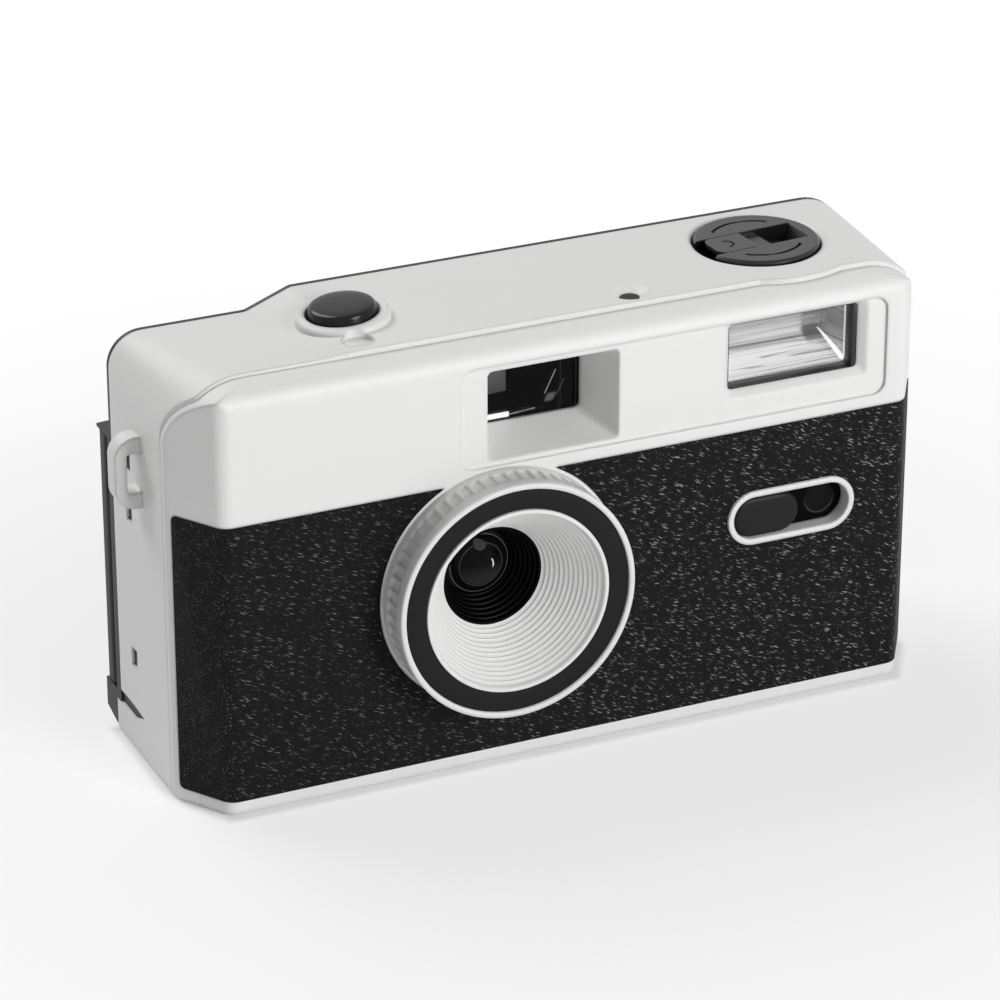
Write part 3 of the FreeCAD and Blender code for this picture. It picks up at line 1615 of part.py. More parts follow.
def make_battery_door():
    plan = battery_plan(slider_gap)
    barrel = battery_door_thickness / 2
    plan[2] = (plan[2][0], plan[2][1] - barrel, 0)
    plan[3] = (plan[3][0], plan[3][1] - barrel, 0)
    door = slab_z(plan, base_gap, base_gap + battery_door_thickness)
    door = door.fuse([battery_hinge(barrel, -slider_gap),
                      battery_hinge(door_pin_radius, door_pin_reach - door_pin_end_gap)])
    wide = battery_grip_width / 2
    for i in (-1, 0, 1):
        x = battery_x + i * battery_grip_pitch
        y = battery_y - battery_grip_pitch / 4
        door = door.cut(box(x - wide, x + wide, y - battery_grip_length / 2,
                            y + battery_grip_length / 2, -1, base_gap + battery_grip_depth))
    return door.removeSplitter()


def make_rewind_release():
    # A button in the base, dished so that a fingertip or a pen finds it.
    low = release_set
    high = base_wall + release_proud
    return spindle([(0, low + release_dish), (release_radius * 0.7, low), (release_radius, low),
                    (release_radius, high), (0, high)], sprocket_x, sprocket_y)


makers = {
    "front_cover": make_front_cover,
    "leather_sheet": make_leather,
    "middle_case": make_middle_case,
    "rear_cover": make_rear_cover,
    "film_door": make_film_door,
    "hinge_pin": make_hinge_pin,
    "pressure_plate": make_pressure_plate,
    "pressure_spring": make_pressure_spring,
    "door_latch": make_door_latch,
    "film_chassis": make_chassis,
    "light_tunnel": make_light_tunnel,
    "cassette_well": make_cassette_well,
    "take_up_well": make_take_up_well,
    "battery_holder": make_battery_holder,
    "chassis_screws": make_screws,
    "lens_ring": make_lens_ring,
    "ring_trim": make_ring_trim,
    "lens_cone": make_lens_cone,
    "inner_cone": make_inner_cone,
    "front_lens": make_front_lens,
    "aperture_plate": make_aperture_plate,
    "shutter_blade": make_shutter_blade,
    "shutter_housing": make_shutter_housing,
    "rear_lens": make_rear_lens,
    "finder_window": make_finder_glass,
    "finder_tunnel": make_finder_tunnel,
    "eyepiece": make_eyepiece,
    "flash_gasket": make_flash_gasket,
    "flash_window": make_flash_window,
    "flash_reflector": make_reflector,
    "flash_tube": make_flash_tube,
    "flash_board": make_flash_board,
    "flash_capacitor": make_capacitor,
    "switch_plate": make_switch_plate,
    "flash_switch": make_flash_switch,
    "shutter_button": make_shutter_button,
    "button_spring": make_button_spring,
    "rewind_knob": make_rewind_knob,
    "rewind_crank": make_rewind_crank,
    "crank_pin": make_crank_pin,
    "rewind_collar": make_rewind_collar,
    "rewind_fork": make_rewind_fork,
    "sprocket": make_sprocket,
    "counter_disc": make_counter_disc,
    "counter_window": make_counter_window,
    "take_up_spool": make_take_up_spool,
    "advance_wheel": make_advance_wheel,
    "ready_lamp": make_ready_lamp,
    "battery_contacts": make_battery_contacts,
    "battery_door": make_battery_door,
    "rewind_release": make_rewind_release,
}

os.makedirs("parts", exist_ok=True)
for node, maker in makers.items():
    maker().exportStep("parts/" + node + ".step")
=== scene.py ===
import math

import bmesh
import bpy
from mathutils import Matrix, Vector


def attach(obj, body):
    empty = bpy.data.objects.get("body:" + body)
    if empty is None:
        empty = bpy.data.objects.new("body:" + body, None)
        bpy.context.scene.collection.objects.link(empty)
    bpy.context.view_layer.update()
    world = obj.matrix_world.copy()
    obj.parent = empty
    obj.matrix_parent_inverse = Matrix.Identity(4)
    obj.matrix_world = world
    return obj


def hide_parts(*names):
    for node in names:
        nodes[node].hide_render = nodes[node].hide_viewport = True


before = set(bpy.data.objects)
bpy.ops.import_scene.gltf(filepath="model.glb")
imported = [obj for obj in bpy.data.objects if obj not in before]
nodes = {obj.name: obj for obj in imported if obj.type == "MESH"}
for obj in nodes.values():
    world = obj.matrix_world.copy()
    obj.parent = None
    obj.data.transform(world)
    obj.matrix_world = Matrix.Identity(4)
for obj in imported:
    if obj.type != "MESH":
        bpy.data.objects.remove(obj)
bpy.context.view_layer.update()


# Film chassis: black ABS mouldings inside the case, with the film gate and its rails,
# the light tunnel, the two film chambers and the battery channel. Four small steel
# screws with cross slots hold them to the front cover.

class Socket:
    """An output socket of a material, on which + - * and abs add Math nodes."""

    def __init__(self, tree, socket=None):
        self.tree = tree
        self.socket = socket

    def node(self, kind, settings=None, inputs=None, output=0):
        made = self.tree.nodes.new("ShaderNode" + kind)
        for name, value in (settings or {}).items():
            setattr(made, name, value)
        for name, value in (inputs or {}).items():
            if isinstance(value, Socket):
                self.tree.links.new(value.socket, made.inputs[name])
            else:
                made.inputs[name].default_value = value
        return Socket(self.tree, made.outputs[output])

    def maths(self, operation, *values):
        return self.node("Math", {"operation": operation}, dict(enumerate(values)))

    def __add__(self, other):
        return self.maths("ADD", self, other)

    def __sub__(self, other):
        return self.maths("SUBTRACT", self, other)

    def __rsub__(self, other):
        return self.maths("SUBTRACT", other, self)

    def __mul__(self, other):
        return self.maths("MULTIPLY", self, other)

    def __abs__(self):
        return self.maths("ABSOLUTE", self)

    __radd__ = __add__
    __rmul__ = __mul__

    def span(self, low, high):
        """0 below low, 1 above high and smooth between."""
        return self.node("MapRange", {"interpolation_type": "SMOOTHSTEP"},
                         {"Value": self, "From Min": low, "From Max": high})

    def near(self, centre, inside, outside):
        """1 closer to the centre than inside, 0 beyond outside and smooth between."""
        return 1 - abs(self - centre).span(inside, outside)

    def axes(self, *which):
        """The parts of a vector by number: 0 is x, 1 is y and 2 is z."""
        parts = self.node("SeparateXYZ", inputs={0: self}).socket.node
        return [Socket(self.tree, parts.outputs[i]) for i in which]

    def blend(self, low, high):
        """A colour between low and high, by this value."""
        colours = {}
        for socket, colour in ((6, low), (7, high)):
            colours[socket] = colour if isinstance(colour, Socket) else (*colour, 1)
        return self.node("Mix", {"data_type": "RGBA"}, {0: self, **colours}, output=2)


def new_finish(name, constants):
    """A material with its shader's constants set, and the sockets to build on."""
    made = bpy.data.materials.new(name)
    made.use_nodes = True
    shader = made.node_tree.nodes["Principled BSDF"]
    for socket, value in constants.items():
        shader.inputs[socket].default_value = value
    start = Socket(made.node_tree)
    return made, shader, start, start.node("TexCoord", output="Object")


def feed(shader, socket, value):
    shader.id_data.links.new(value.socket, shader.inputs[socket])


def moulded(name, dark, light, roughness, edge=0.00025, grain=0.03, constants=None):
    """Moulded plastic: faint flow marks in its colour, and a fine spark-eroded skin."""
    made, shader, start, place = new_finish(name, constants or {})
    flow = start.node("TexNoise", inputs={"Vector": place, "Scale": 60.0, "Detail": 3.0})
    feed(shader, "Base Color", flow.blend(dark, light))
    skin = start.node("TexNoise", inputs={"Vector": place, "Scale": 2600.0, "Detail": 2.0})
    feed(shader, "Roughness", roughness - 0.04 + flow * 0.05 + skin * 0.04)
    round_edge = start.node("Bevel", {"samples": 6}, {"Radius": edge})
    feed(shader, "Normal", start.node("Bump", inputs={
        "Strength": grain, "Distance": 0.00008, "Height": skin, "Normal": round_edge}))
    return made


def wear(piece, finish):
    piece.data.materials.clear()
    piece.data.materials.append(finish)


def metal(name, dark, light, roughness):
    """Bare metal with a faint uneven haze."""
    made, shader, start, place = new_finish(name, {"Metallic": 1.0})
    haze = start.node("TexNoise", inputs={"Vector": place, "Scale": 400.0, "Detail": 3.0})
    feed(shader, "Base Color", haze.blend(dark, light))
    feed(shader, "Roughness", roughness + haze * 0.1)
    return made


chassis_plastic = moulded("chassis_plastic", (0.006, 0.006, 0.0065), (0.01, 0.01, 0.0105),
                          0.55, constants={"Specular IOR Level": 0.15})
for name in ("film_chassis", "light_tunnel", "cassette_well", "take_up_well",
             "battery_holder"):
    wear(nodes[name], chassis_plastic)

screw_steel = metal("screw_steel", (0.42, 0.42, 0.43), (0.6, 0.6, 0.61), 0.25)
wear(nodes["chassis_screws"], screw_steel)


# Film transport: black acetal spool, sprocket and thumb wheel. The frame counter is a
# white disc printed with plain graduations, seen through a small smoked window.

acetal = moulded("acetal", (0.009, 0.009, 0.0095), (0.014, 0.014, 0.0145), 0.42,
                 constants={"Specular IOR Level": 0.2})
for name in ("sprocket", "take_up_spool", "advance_wheel"):
    wear(nodes[name], acetal)


def reach(x, y):
    """How far a point lies from the centre that x and y are measured from."""
    return x.maths("SQRT", x * x + y * y)


def counter_finish():
    """White disc with black graduations round its rim."""
    graduations = 40
    disc_axis = (0.008, -0.0026, 0)
    made, shader, start, place = new_finish("counter_print", {})
    x, y = start.node("VectorMath", {"operation": "SUBTRACT"},
                      {0: place, 1: disc_axis}).axes(0, 1)
    turn = start.maths("ARCTAN2", y, x) * (graduations / 2 / math.pi)
    wave = start.maths("PINGPONG", turn, 0.5)
    ink = (1 - wave.span(0.1, 0.16)) * reach(x, y).span(0.0054, 0.0055)
    haze = start.node("TexNoise", inputs={"Vector": place, "Scale": 900.0})
    feed(shader, "Base Color", ink.blend((0.7, 0.7, 0.69), (0.012, 0.012, 0.013)))
    feed(shader, "Roughness", 0.4 + haze * 0.1)
    return made


def clear(name, tint, constants=None):
    """Clear acrylic with a trace of haze on its surface."""
    made, shader, start, place = new_finish(name, {
        "Transmission Weight": 1.0, "IOR": 1.49, **(constants or {})})
    haze = start.node("TexNoise", inputs={"Vector": place, "Scale": 500.0, "Detail": 4.0})
    paler = tuple(min(1.0, part * 1.04) for part in tint)
    feed(shader, "Base Color", haze.blend(tint, paler))
    feed(shader, "Roughness", 0.01 + haze * 0.03)
    return made


wear(nodes["counter_disc"], counter_finish())
wear(nodes["counter_window"], clear("counter_smoke", (0.05, 0.05, 0.05), {"IOR": 1.2}))


# Lens group: a shutter drum with a thin black blade, and two acrylic lenses. The front
# one is a low coated dome, seated in a dark stepped barrel that kills stray light.

lens_x, lens_z = -0.0113, 0.0281
mouth_y = -0.0224
cone_back_y = -0.0134
barrel_front_y = -0.0122
lens_seat_y = -0.0085
barrel_back_y = -0.0075
throat_radius = 0.0075
barrel_radius = 0.0087
seat_radius = 0.0053
lens_rim_radius = 0.0052

black_metal = moulded("black_metal", (0.003, 0.003, 0.003), (0.005, 0.005, 0.005), 0.6,
                      constants={"Specular IOR Level": 0.1})
for name in ("aperture_plate", "shutter_blade"):
    wear(nodes[name], black_metal)
wear(nodes["shutter_housing"], chassis_plastic)
wear(nodes["rear_lens"], clear("lens_acrylic", (0.8, 0.82, 0.86)))


def start_shape(name, add, **settings):
    """Adds a primitive at its size and place and leaves only it selected."""
    bpy.ops.object.select_all(action="DESELECT")
    add(**settings)
    made = bpy.context.object
    made.name = name
    bpy.ops.object.transform_apply(location=True, rotation=True, scale=True)
    return made


def end_edit():
    """Turns all faces outward and leaves edit mode."""
    bpy.ops.mesh.select_all(action="SELECT")
    bpy.ops.mesh.normals_make_consistent(inside=False)
    bpy.ops.object.mode_set(mode="OBJECT")


def lathe(name, profile, centre, upright=False, sides=128):
    """A turned piece: a ring of edges drawn along (radius, height) points and closed."""
    def at(height):
        return (centre[0], centre[1], height) if upright else (centre[0], height, centre[1])

    made = start_shape(name, bpy.ops.mesh.primitive_circle_add, vertices=sides,
                       radius=profile[0][0], location=at(profile[0][1]),
                       rotation=(0, 0, 0) if upright else (math.pi / 2, 0, 0))
    bpy.ops.object.mode_set(mode="EDIT")
    bpy.ops.mesh.select_mode(type="EDGE")
    bpy.ops.mesh.select_all(action="SELECT")
    for (radius, height), (wider, higher) in zip(profile, profile[1:]):
        step = Vector(at(higher)) - Vector(at(height))
        bpy.ops.mesh.extrude_region_move(TRANSFORM_OT_translate={"value": step})
        grow = wider / radius
        bpy.ops.transform.resize(value=(grow, grow, 1) if upright else (grow, 1, grow),
                                 center_override=at(higher))
    bpy.ops.mesh.select_all(action="SELECT")
    bpy.ops.mesh.remove_doubles(threshold=0.000001)
    bpy.ops.mesh.fill_holes(sides=0)
    end_edit()
    return made


def soften(piece, width, angle=25):
    """Rounds the corners of a piece and smooths what runs on."""
    rounding = piece.modifiers.new("rounding", "BEVEL")
    rounding.width = width
    rounding.segments = 2
    rounding.limit_method = "ANGLE"
    rounding.angle_limit = math.radians(angle)
    bpy.ops.object.modifier_apply(modifier=rounding.name)
    bpy.ops.object.shade_smooth_by_angle(angle=math.radians(50))


def ridges(r0, r1, y0, y1, count, run=0.55, nose=0.3):
    """Points of a funnel wall with rounded rings, from its mouth back."""
    points = []
    across = (r1 - r0) / count
    deep = (y1 - y0) / count
    for i in range(count):
        r = r0 + across * i
        y = y0 + deep * i
        points += [(r, y), (r + across * 0.02, y + deep * run),
                   (r + across * nose, y + deep * (run + 0.3)),
                   (r + across * 0.85, y + deep * 0.97)]
    return points + [(r1, y1)]


barrel_black = moulded("barrel_black", (0.001, 0.001, 0.001), (0.002, 0.002, 0.002), 0.3,
                       edge=0.00008, constants={"Specular IOR Level": 0.04})
barrel = lathe("lens_barrel", [
    (barrel_radius, barrel_front_y), (throat_radius, barrel_front_y),
    (throat_radius, cone_back_y), *ridges(0.0071, 0.0049, cone_back_y, lens_seat_y, 6),
    (seat_radius, lens_seat_y), (seat_radius, barrel_back_y),
    (barrel_radius, barrel_back_y), (barrel_radius, barrel_front_y)], (lens_x, lens_z))
soften(barrel, 0.00006)
wear(barrel, barrel_black)
wear(nodes["inner_cone"], barrel_black)
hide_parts("inner_cone")
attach(barrel, "camera")

lens_radius = 0.0046
lens_crown = 0.0015
lens_ball = (lens_radius ** 2 + lens_crown ** 2) / (2 * lens_crown)
dome_steps = 9
dome = []
for i in range(dome_steps + 1):
    lean = math.asin(lens_radius / lens_ball) * (dome_steps - i) / dome_steps
    dome.append((max(lens_ball * math.sin(lean), 0.0002),
                 lens_seat_y + lens_ball - lens_crown - lens_ball * math.cos(lean)))
lens = lathe("front_lens_dome", [(lens_rim_radius, barrel_back_y),
                                 (lens_rim_radius, lens_seat_y), *dome], (lens_x, lens_z))
soften(lens, 0.0001)


def from_centre(place, centre):
    """How far a point lies to the right of a centre and above it, seen from the front."""
    x, z = place.axes(0, 2)
    return x - centre[0], z - centre[1]


def lay_over(shader, top, share):
    """Lays a second shader over the first one, by a share from 0 to 1."""
    tree = shader.id_data
    mixed = Socket(tree).node("MixShader", inputs={
        0: share, 1: Socket(tree, shader.outputs[0]), 2: top})
    tree.links.new(mixed.socket, tree.nodes["Material Output"].inputs["Surface"])


def paint_reflections_over(shader, light):
    """Lays painted dull grey reflections, as bright as the value light, over a clear shader.
    """
    grey = light.node("BsdfPrincipled", inputs={
        "Base Color": light.blend((0, 0, 0), (1, 1, 1)), "Specular IOR Level": 0.0,
        "Roughness": 0.6})
    lay_over(shader, grey, light.span(0.0, 0.012))


def coated_lens():
    """Dark coated acrylic with painted reflections: two thin bright rims, a paler lower half
    and one spark of painted highlight.
    """
    made, shader, start, place = new_finish("coated_lens", {
        "Transmission Weight": 1.0, "IOR": 1.2, "Specular IOR Level": 0.3})
    haze = start.node("TexNoise", inputs={"Vector": place, "Scale": 500.0, "Detail": 4.0})
    feed(shader, "Base Color", haze.blend((0.02, 0.02, 0.022), (0.026, 0.026, 0.029)))
    feed(shader, "Roughness", 0.02 + haze * 0.02)
    right, up = from_centre(place, (lens_x, lens_z))
    away = reach(right, up)
    # The rims, the paler lower half and the spark are painted reflections and a painted
    # highlight.
    rims = 0.0
    for radius, width, bright in ((0.00445, 0.00006, 0.09), (0.0033, 0.00004, 0.05)):
        rims = away.near(radius, width, width * 2) * bright + rims
    lower = (1 - away.span(0.0042, 0.0044)) * (
        0.007 + (1 - away.span(0.003, 0.0033)) * (1 - up.span(-0.003, 0.001)) * 0.02)
    spark = (away.near(0.0017, 0.00006, 0.00013) * up.near(0.0002, 0.0004, 0.0008)
             * right.span(0.0, 0.0002) * 0.8)
    paint_reflections_over(shader, rims + lower + spark)
    return made


coated = coated_lens()
wear(lens, coated)
wear(nodes["front_lens"], coated)
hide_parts("front_lens")
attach(lens, "camera")


# Front cover: satin white ABS, moulded with the sloped finder recess, the flash bezel
# and the raised rim of the flash switch. It clips into the middle case.

white_plastic = moulded("white_plastic", (0.75, 0.75, 0.742), (0.775, 0.775, 0.768), 0.45,
                        edge=0.0008)
wear(nodes["front_cover"], white_plastic)


# Leather sheet: thin pebbled leatherette, die cut round the lens ring and the switch
# and glued in a shallow recess that wraps the front and both facets.

def edit_only(piece):
    """Selects one piece alone and enters edit mode."""
    bpy.ops.object.select_all(action="DESELECT")
    bpy.context.view_layer.objects.active = piece
    piece.select_set(True)
    bpy.ops.object.mode_set(mode="EDIT")


def pick(piece, test, kind="FACE"):
    """In edit mode, selects the faces or edges that pass the test."""
    bpy.ops.mesh.select_mode(type=kind)
    bpy.ops.mesh.select_all(action="DESELECT")
    shape = bmesh.from_edit_mesh(piece.data)
    for part in shape.faces if kind == "FACE" else shape.edges:
        part.select_set(bool(test([corner.co for corner in part.verts])))
    bmesh.update_edit_mesh(piece.data)


def merged(name, node):
    """A copy of a CAD piece with its triangles joined up."""
    made = bpy.data.objects.new(name, nodes[node].data.copy())
    bpy.context.scene.collection.objects.link(made)
    edit_only(made)
    bpy.ops.mesh.select_all(action="SELECT")
    bpy.ops.mesh.remove_doubles(threshold=0.000002)
    bpy.ops.mesh.dissolve_limited(angle_limit=math.radians(1))
    bpy.ops.object.mode_set(mode="OBJECT")
    return made


def leather_finish():
    """Black sheet with short raised creases, mostly down to the right, and glints painted as
    highlights into its colour, brighter towards the right.
    """
    made, shader, start, place = new_finish("leatherette", {"Specular IOR Level": 0.09})
    pebble = start.node("TexVoronoi", {"feature": "SMOOTH_F1"},
                        {"Vector": place, "Scale": 1700.0, "Smoothness": 0.5})
    crease = start.node("TexNoise", inputs={"Vector": place, "Scale": 700.0, "Detail": 4.0})
    painted_glints = 0.0
    # Each layer of painted glints: lean in degrees, scale, length, share left dark,
    # brightness.
    for lean, size, length, share, bright in (
            (24, 3300.0, 8.0, 0.0, 1.0), (38, 3500.0, 7.0, 0.2, 1.0),
            (12, 3500.0, 7.0, 0.25, 0.9), (0, 2700.0, 1.5, 0.0, 0.45)):
        turned = start.node("Mapping", {"vector_type": "TEXTURE"}, {
            "Vector": place, "Rotation": (0, math.radians(lean), 0),
            "Scale": (length, 1.0, 1.0)})
        spots = start.node("TexVoronoi", {"feature": "F1"},
                           {"Vector": turned, "Scale": size}).socket.node
        near = 1 - Socket(start.tree, spots.outputs["Distance"]).span(0.08, 0.25)
        chance = start.node("SeparateColor", inputs={
            0: Socket(start.tree, spots.outputs["Color"])})
        painted_glints = near * chance.span(share, 1.0) * bright + painted_glints
    right = place.axes(0)[0]
    # The glints are painted highlights, painted brighter towards the right, where the light
    # falls.
    painted_glints = painted_glints * crease.span(0.27, 0.55) * (0.45 + right.span(-0.04, 0.03) * 0.55)
    feed(shader, "Base Color", painted_glints.blend(
        crease.blend((0.0035, 0.0035, 0.0036), (0.008, 0.008, 0.0081)), (0.44, 0.44, 0.44)))
    feed(shader, "Roughness", 0.5 + crease * 0.15 - painted_glints * 0.15)
    feed(shader, "Normal", start.node("Bump", inputs={
        "Strength": 0.6, "Distance": 0.00012, "Height": pebble * 0.8 + crease * 0.7
        + painted_glints * 0.5}))
    return made


leatherette = leather_finish()

# The two sharp tips, where the sheet's top edge meets its round hole, are rounded.
sheet_top = 0.0444
hole_radius = 0.0183
tip_reach = math.sqrt(hole_radius ** 2 - (sheet_top - lens_z) ** 2)
leather = merged("leather_sheet_cut", "leather_sheet")
edit_only(leather)
pick(leather, lambda ends: all(abs(end.z - sheet_top) < 0.00002
                               and abs(abs(end.x - lens_x) - tip_reach) < 0.00005
                               for end in ends), "EDGE")
bpy.ops.mesh.bevel(offset=0.0007, segments=5, affect="EDGES")
bpy.ops.object.mode_set(mode="OBJECT")
bpy.ops.object.shade_smooth_by_angle(angle=math.radians(30))
wear(leather, leatherette)
wear(nodes["leather_sheet"], leatherette)
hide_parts("leather_sheet")
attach(leather, "camera")


# Lens funnel: white ABS turned inside into fine rounded rings, with a thin plain lip.

funnel_radius = 0.0138
funnel_front_y = -0.0223
funnel = lathe("lens_funnel", [
    (funnel_radius, funnel_front_y), (0.0133, funnel_front_y),
    *ridges(0.0131, throat_radius, -0.0219, cone_back_y, 13, run=0.36, nose=0.36),
    (throat_radius, -0.0123), (barrel_radius, barrel_front_y), (funnel_radius, -0.0146),
    (funnel_radius, funnel_front_y)], (lens_x, lens_z))
soften(funnel, 0.00007)
funnel_white = moulded("funnel_white", (0.75, 0.75, 0.742), (0.775, 0.775, 0.768), 0.38,
                       edge=0.00006)
wear(funnel, funnel_white)
wear(nodes["lens_cone"], funnel_white)
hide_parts("lens_cone")
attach(funnel, "camera")


# Lens ring: a white ABS ring with sixty shallow pockets round its side, between a
# smooth front lip and its back rim. A flat black ring is pressed into its face.

ring_radius = 0.0178
ring_back = -0.016
ring_bore = 0.01382
lip_width = 0.00082
face_depth = 0.00155
pocket_columns = 5
pocket_count = 60
pocket_front_y = mouth_y + 0.002
pocket_back_y = ring_back - 0.0014


def pick_end(piece, y):
    """Selects the faces that lie flat at y."""
    pick(piece, lambda corners: all(abs(corner.y - y) < 0.00001 for corner in corners))


def bridge_rims():
    """Joins the two open rims of a piece by a wall."""
    bpy.ops.mesh.select_mode(type="EDGE")
    bpy.ops.mesh.select_all(action="DESELECT")
    bpy.ops.mesh.select_non_manifold()
    bpy.ops.mesh.bridge_edge_loops()


ring = start_shape("lens_ring_ribbed", bpy.ops.mesh.primitive_cylinder_add,
                   vertices=pocket_columns * pocket_count, radius=ring_radius,
                   depth=ring_back - mouth_y, rotation=(math.pi / 2, 0, 0),
                   location=(lens_x, (ring_back + mouth_y) / 2, lens_z))
bpy.ops.object.mode_set(mode="EDIT")
pick_end(ring, mouth_y)
bpy.ops.mesh.inset(thickness=lip_width)
bpy.ops.mesh.extrude_region_move(TRANSFORM_OT_translate={"value": (0, face_depth, 0)})
bpy.ops.mesh.inset(thickness=ring_radius - lip_width - ring_bore)
bpy.ops.mesh.delete(type="FACE")
pick_end(ring, ring_back)
bpy.ops.mesh.inset(thickness=ring_radius - ring_bore)
bpy.ops.mesh.delete(type="FACE")
bridge_rims()
for cut_y in (pocket_front_y, pocket_back_y):
    bpy.ops.mesh.select_all(action="SELECT")
    bpy.ops.mesh.bisect(plane_co=(0, cut_y, 0), plane_no=(0, 1, 0))


def in_pocket(corners):
    """Whether a face of the ring's side is the floor of a pocket, not a rib or a rim."""
    spot = sum(corners, Vector()) / len(corners) - Vector((lens_x, 0, lens_z))
    around = math.atan2(spot.x, spot.z) / (2 * math.pi) * pocket_count * pocket_columns
    return (math.hypot(spot.x, spot.z) > ring_radius - 0.0001
            and pocket_front_y < spot.y < pocket_back_y
            and math.floor(around) % pocket_columns < pocket_columns - 1)


pick(ring, in_pocket)
bpy.ops.mesh.inset(thickness=0.00013, depth=-0.00028)
end_edit()
soften(ring, 0.0001, angle=20)
wear(ring, white_plastic)
wear(nodes["lens_ring"], white_plastic)
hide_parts("lens_ring")
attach(ring, "camera")

trim_inner, trim_outer = 0.0139, 0.01693
trim_front_y, trim_back_y = -0.02205, -0.0209
trim = lathe("ring_face", [
    (trim_inner, trim_back_y), (trim_inner, trim_front_y), (trim_outer, trim_front_y),
    (trim_outer, trim_back_y), (trim_inner, trim_back_y)], (lens_x, lens_z))
soften(trim, 0.00006)
trim_black = moulded("trim_black", (0.01, 0.01, 0.0102), (0.013, 0.013, 0.0132), 0.62,
                     edge=0.00006, grain=0.08, constants={"Specular IOR Level": 0.12})
wear(trim, trim_black)
wear(nodes["ring_trim"], trim_black)
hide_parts("ring_trim")
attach(trim, "camera")


# Viewfinder: a smoked front window and a small eyepiece at the two ends of a dull black
# tunnel that narrows to the back.

def patch(right, up, left_end, right_end, low, high, soft=0.00008):
    """1 inside a rectangle and 0 outside it."""
    return (right.span(left_end - soft, left_end + soft)
            * (1 - right.span(right_end - soft, right_end + soft))
            * up.span(low - soft, low + soft) * (1 - up.span(high - soft, high + soft)))


def finder_glass_finish():
    """Smoked acrylic with painted dim reflections of the tunnel's end and its lower edge."""
    made, shader, start, place = new_finish("smoked_acrylic", {
        "Transmission Weight": 1.0, "IOR": 1.18, "Specular IOR Level": 0.3})
    haze = start.node("TexNoise", inputs={"Vector": place, "Scale": 300.0, "Detail": 4.0})
    feed(shader, "Base Color", haze.blend((0.015, 0.015, 0.015), (0.03, 0.03, 0.03)))
    feed(shader, "Roughness", 0.02 + haze * 0.02)
    window_corner, window_height = (-0.0096, 0.0492), 0.0088
    right, up = from_centre(place, window_corner)
    # Painted reflections of the eyepiece end and the tunnel floor, with diagonal streaks, two
    # lines and a faint haze, all laid over the glass as grey.
    painted_eyepiece_reflection = patch(right, up - right * 0.05, -0.001, 0.0027, 0.0042, 0.0078)
    painted_floor_reflection = patch(right, up, -0.001, 0.0032, 0.0003, 0.0011)
    painted_floor_tail = patch(right, up - right * 0.07, 0.0032, 0.0072, 0.00028, 0.00048,
                       0.0001) * haze.span(0.3, 0.5)
    lean = right - up * 0.5
    diagonal_streak = patch(lean, up, 0.0072, 0.00735, 0.0028, 0.0062, 0.00006)
    second = patch(lean, up, 0.0093, 0.0095, 0.0022, 0.0046, 0.0001)
    broad_diagonal_streak = patch(lean, up, 0.0078, 0.0091, 0.0016, 0.0027, 0.0003)
    edges = patch(right, up, 0.0110, 0.0112, 0.0, window_height) + patch(
        right, up, 0.0134, 0.0136, 0.0, window_height)
    dim = haze.span(0.3, 0.75) * up.span(0.0, window_height) * 0.014
    paint_reflections_over(shader, painted_eyepiece_reflection * (up * 12.0) + painted_floor_reflection * 0.9
              + painted_floor_tail * 0.25 + diagonal_streak * 0.28 + second * 0.05 + broad_diagonal_streak * 0.1
              + edges * 0.02 + dim)
    return made


wear(nodes["finder_window"], finder_glass_finish())
wear(nodes["finder_tunnel"], chassis_plastic)
clear_acrylic = clear("clear_acrylic", (0.93, 0.94, 0.94), {"Specular IOR Level": 0.3})
wear(nodes["eyepiece"], clear_acrylic)


# Flash: a bright metallised trough with a glass tube across it, behind a clear window
# with prism lines and a black gasket. Its board and capacitor lie in the case.

flash_left, flash_right, flash_low, flash_high = 0.0244, 0.0449, 0.0505, 0.0604
gasket_front, gasket_back = -0.0145, -0.012
pane_front, pane_back = -0.0134, -0.0126
trough_front, trough_back = -0.0124, -0.0069


def block(name, x0, x1, y0, y1, z0, z1):
    """A block between two corners."""
    return start_shape(name, bpy.ops.mesh.primitive_cube_add, size=1.0,
                       location=((x0 + x1) / 2, (y0 + y1) / 2, (z0 + z1) / 2),
                       scale=(x1 - x0, y1 - y0, z1 - z0))


def reshape_end(piece, y, rect):
    """Moves the selected end face at y onto the rectangle x0, x1, z0, z1."""
    shape = bmesh.from_edit_mesh(piece.data)
    corners = [v.co.copy() for v in shape.verts if v.select]
    x0, x1 = min(c.x for c in corners), max(c.x for c in corners)
    z0, z1 = min(c.z for c in corners), max(c.z for c in corners)
    grow = ((rect[1] - rect[0]) / (x1 - x0), 1, (rect[3] - rect[2]) / (z1 - z0))
    bpy.ops.transform.resize(value=grow, center_override=((x0 + x1) / 2, y, (z0 + z1) / 2))
    bpy.ops.transform.translate(value=((rect[0] + rect[1] - x0 - x1) / 2, 0,
                                       (rect[2] + rect[3] - z0 - z1) / 2))


gasket_hole = (0.02453, 0.0442, 0.05058, 0.06028)
gasket = block("flash_seal", flash_left, flash_right, gasket_front, gasket_back,
               flash_low, flash_high)
bpy.ops.object.mode_set(mode="EDIT")
for end_y in (gasket_front, gasket_back):
    pick_end(gasket, end_y)
    bpy.ops.mesh.inset(thickness=0.00005)
    reshape_end(gasket, end_y, gasket_hole)
    bpy.ops.mesh.delete(type="FACE")
bridge_rims()
end_edit()
soften(gasket, 0.00004)
gasket_rubber = moulded("gasket_rubber", (0.006, 0.006, 0.006), (0.012, 0.012, 0.012), 0.4,
                        edge=0.00004, constants={"Specular IOR Level": 0.5})
wear(gasket, gasket_rubber)
wear(nodes["flash_gasket"], gasket_rubber)
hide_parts("flash_gasket")
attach(gasket, "camera")

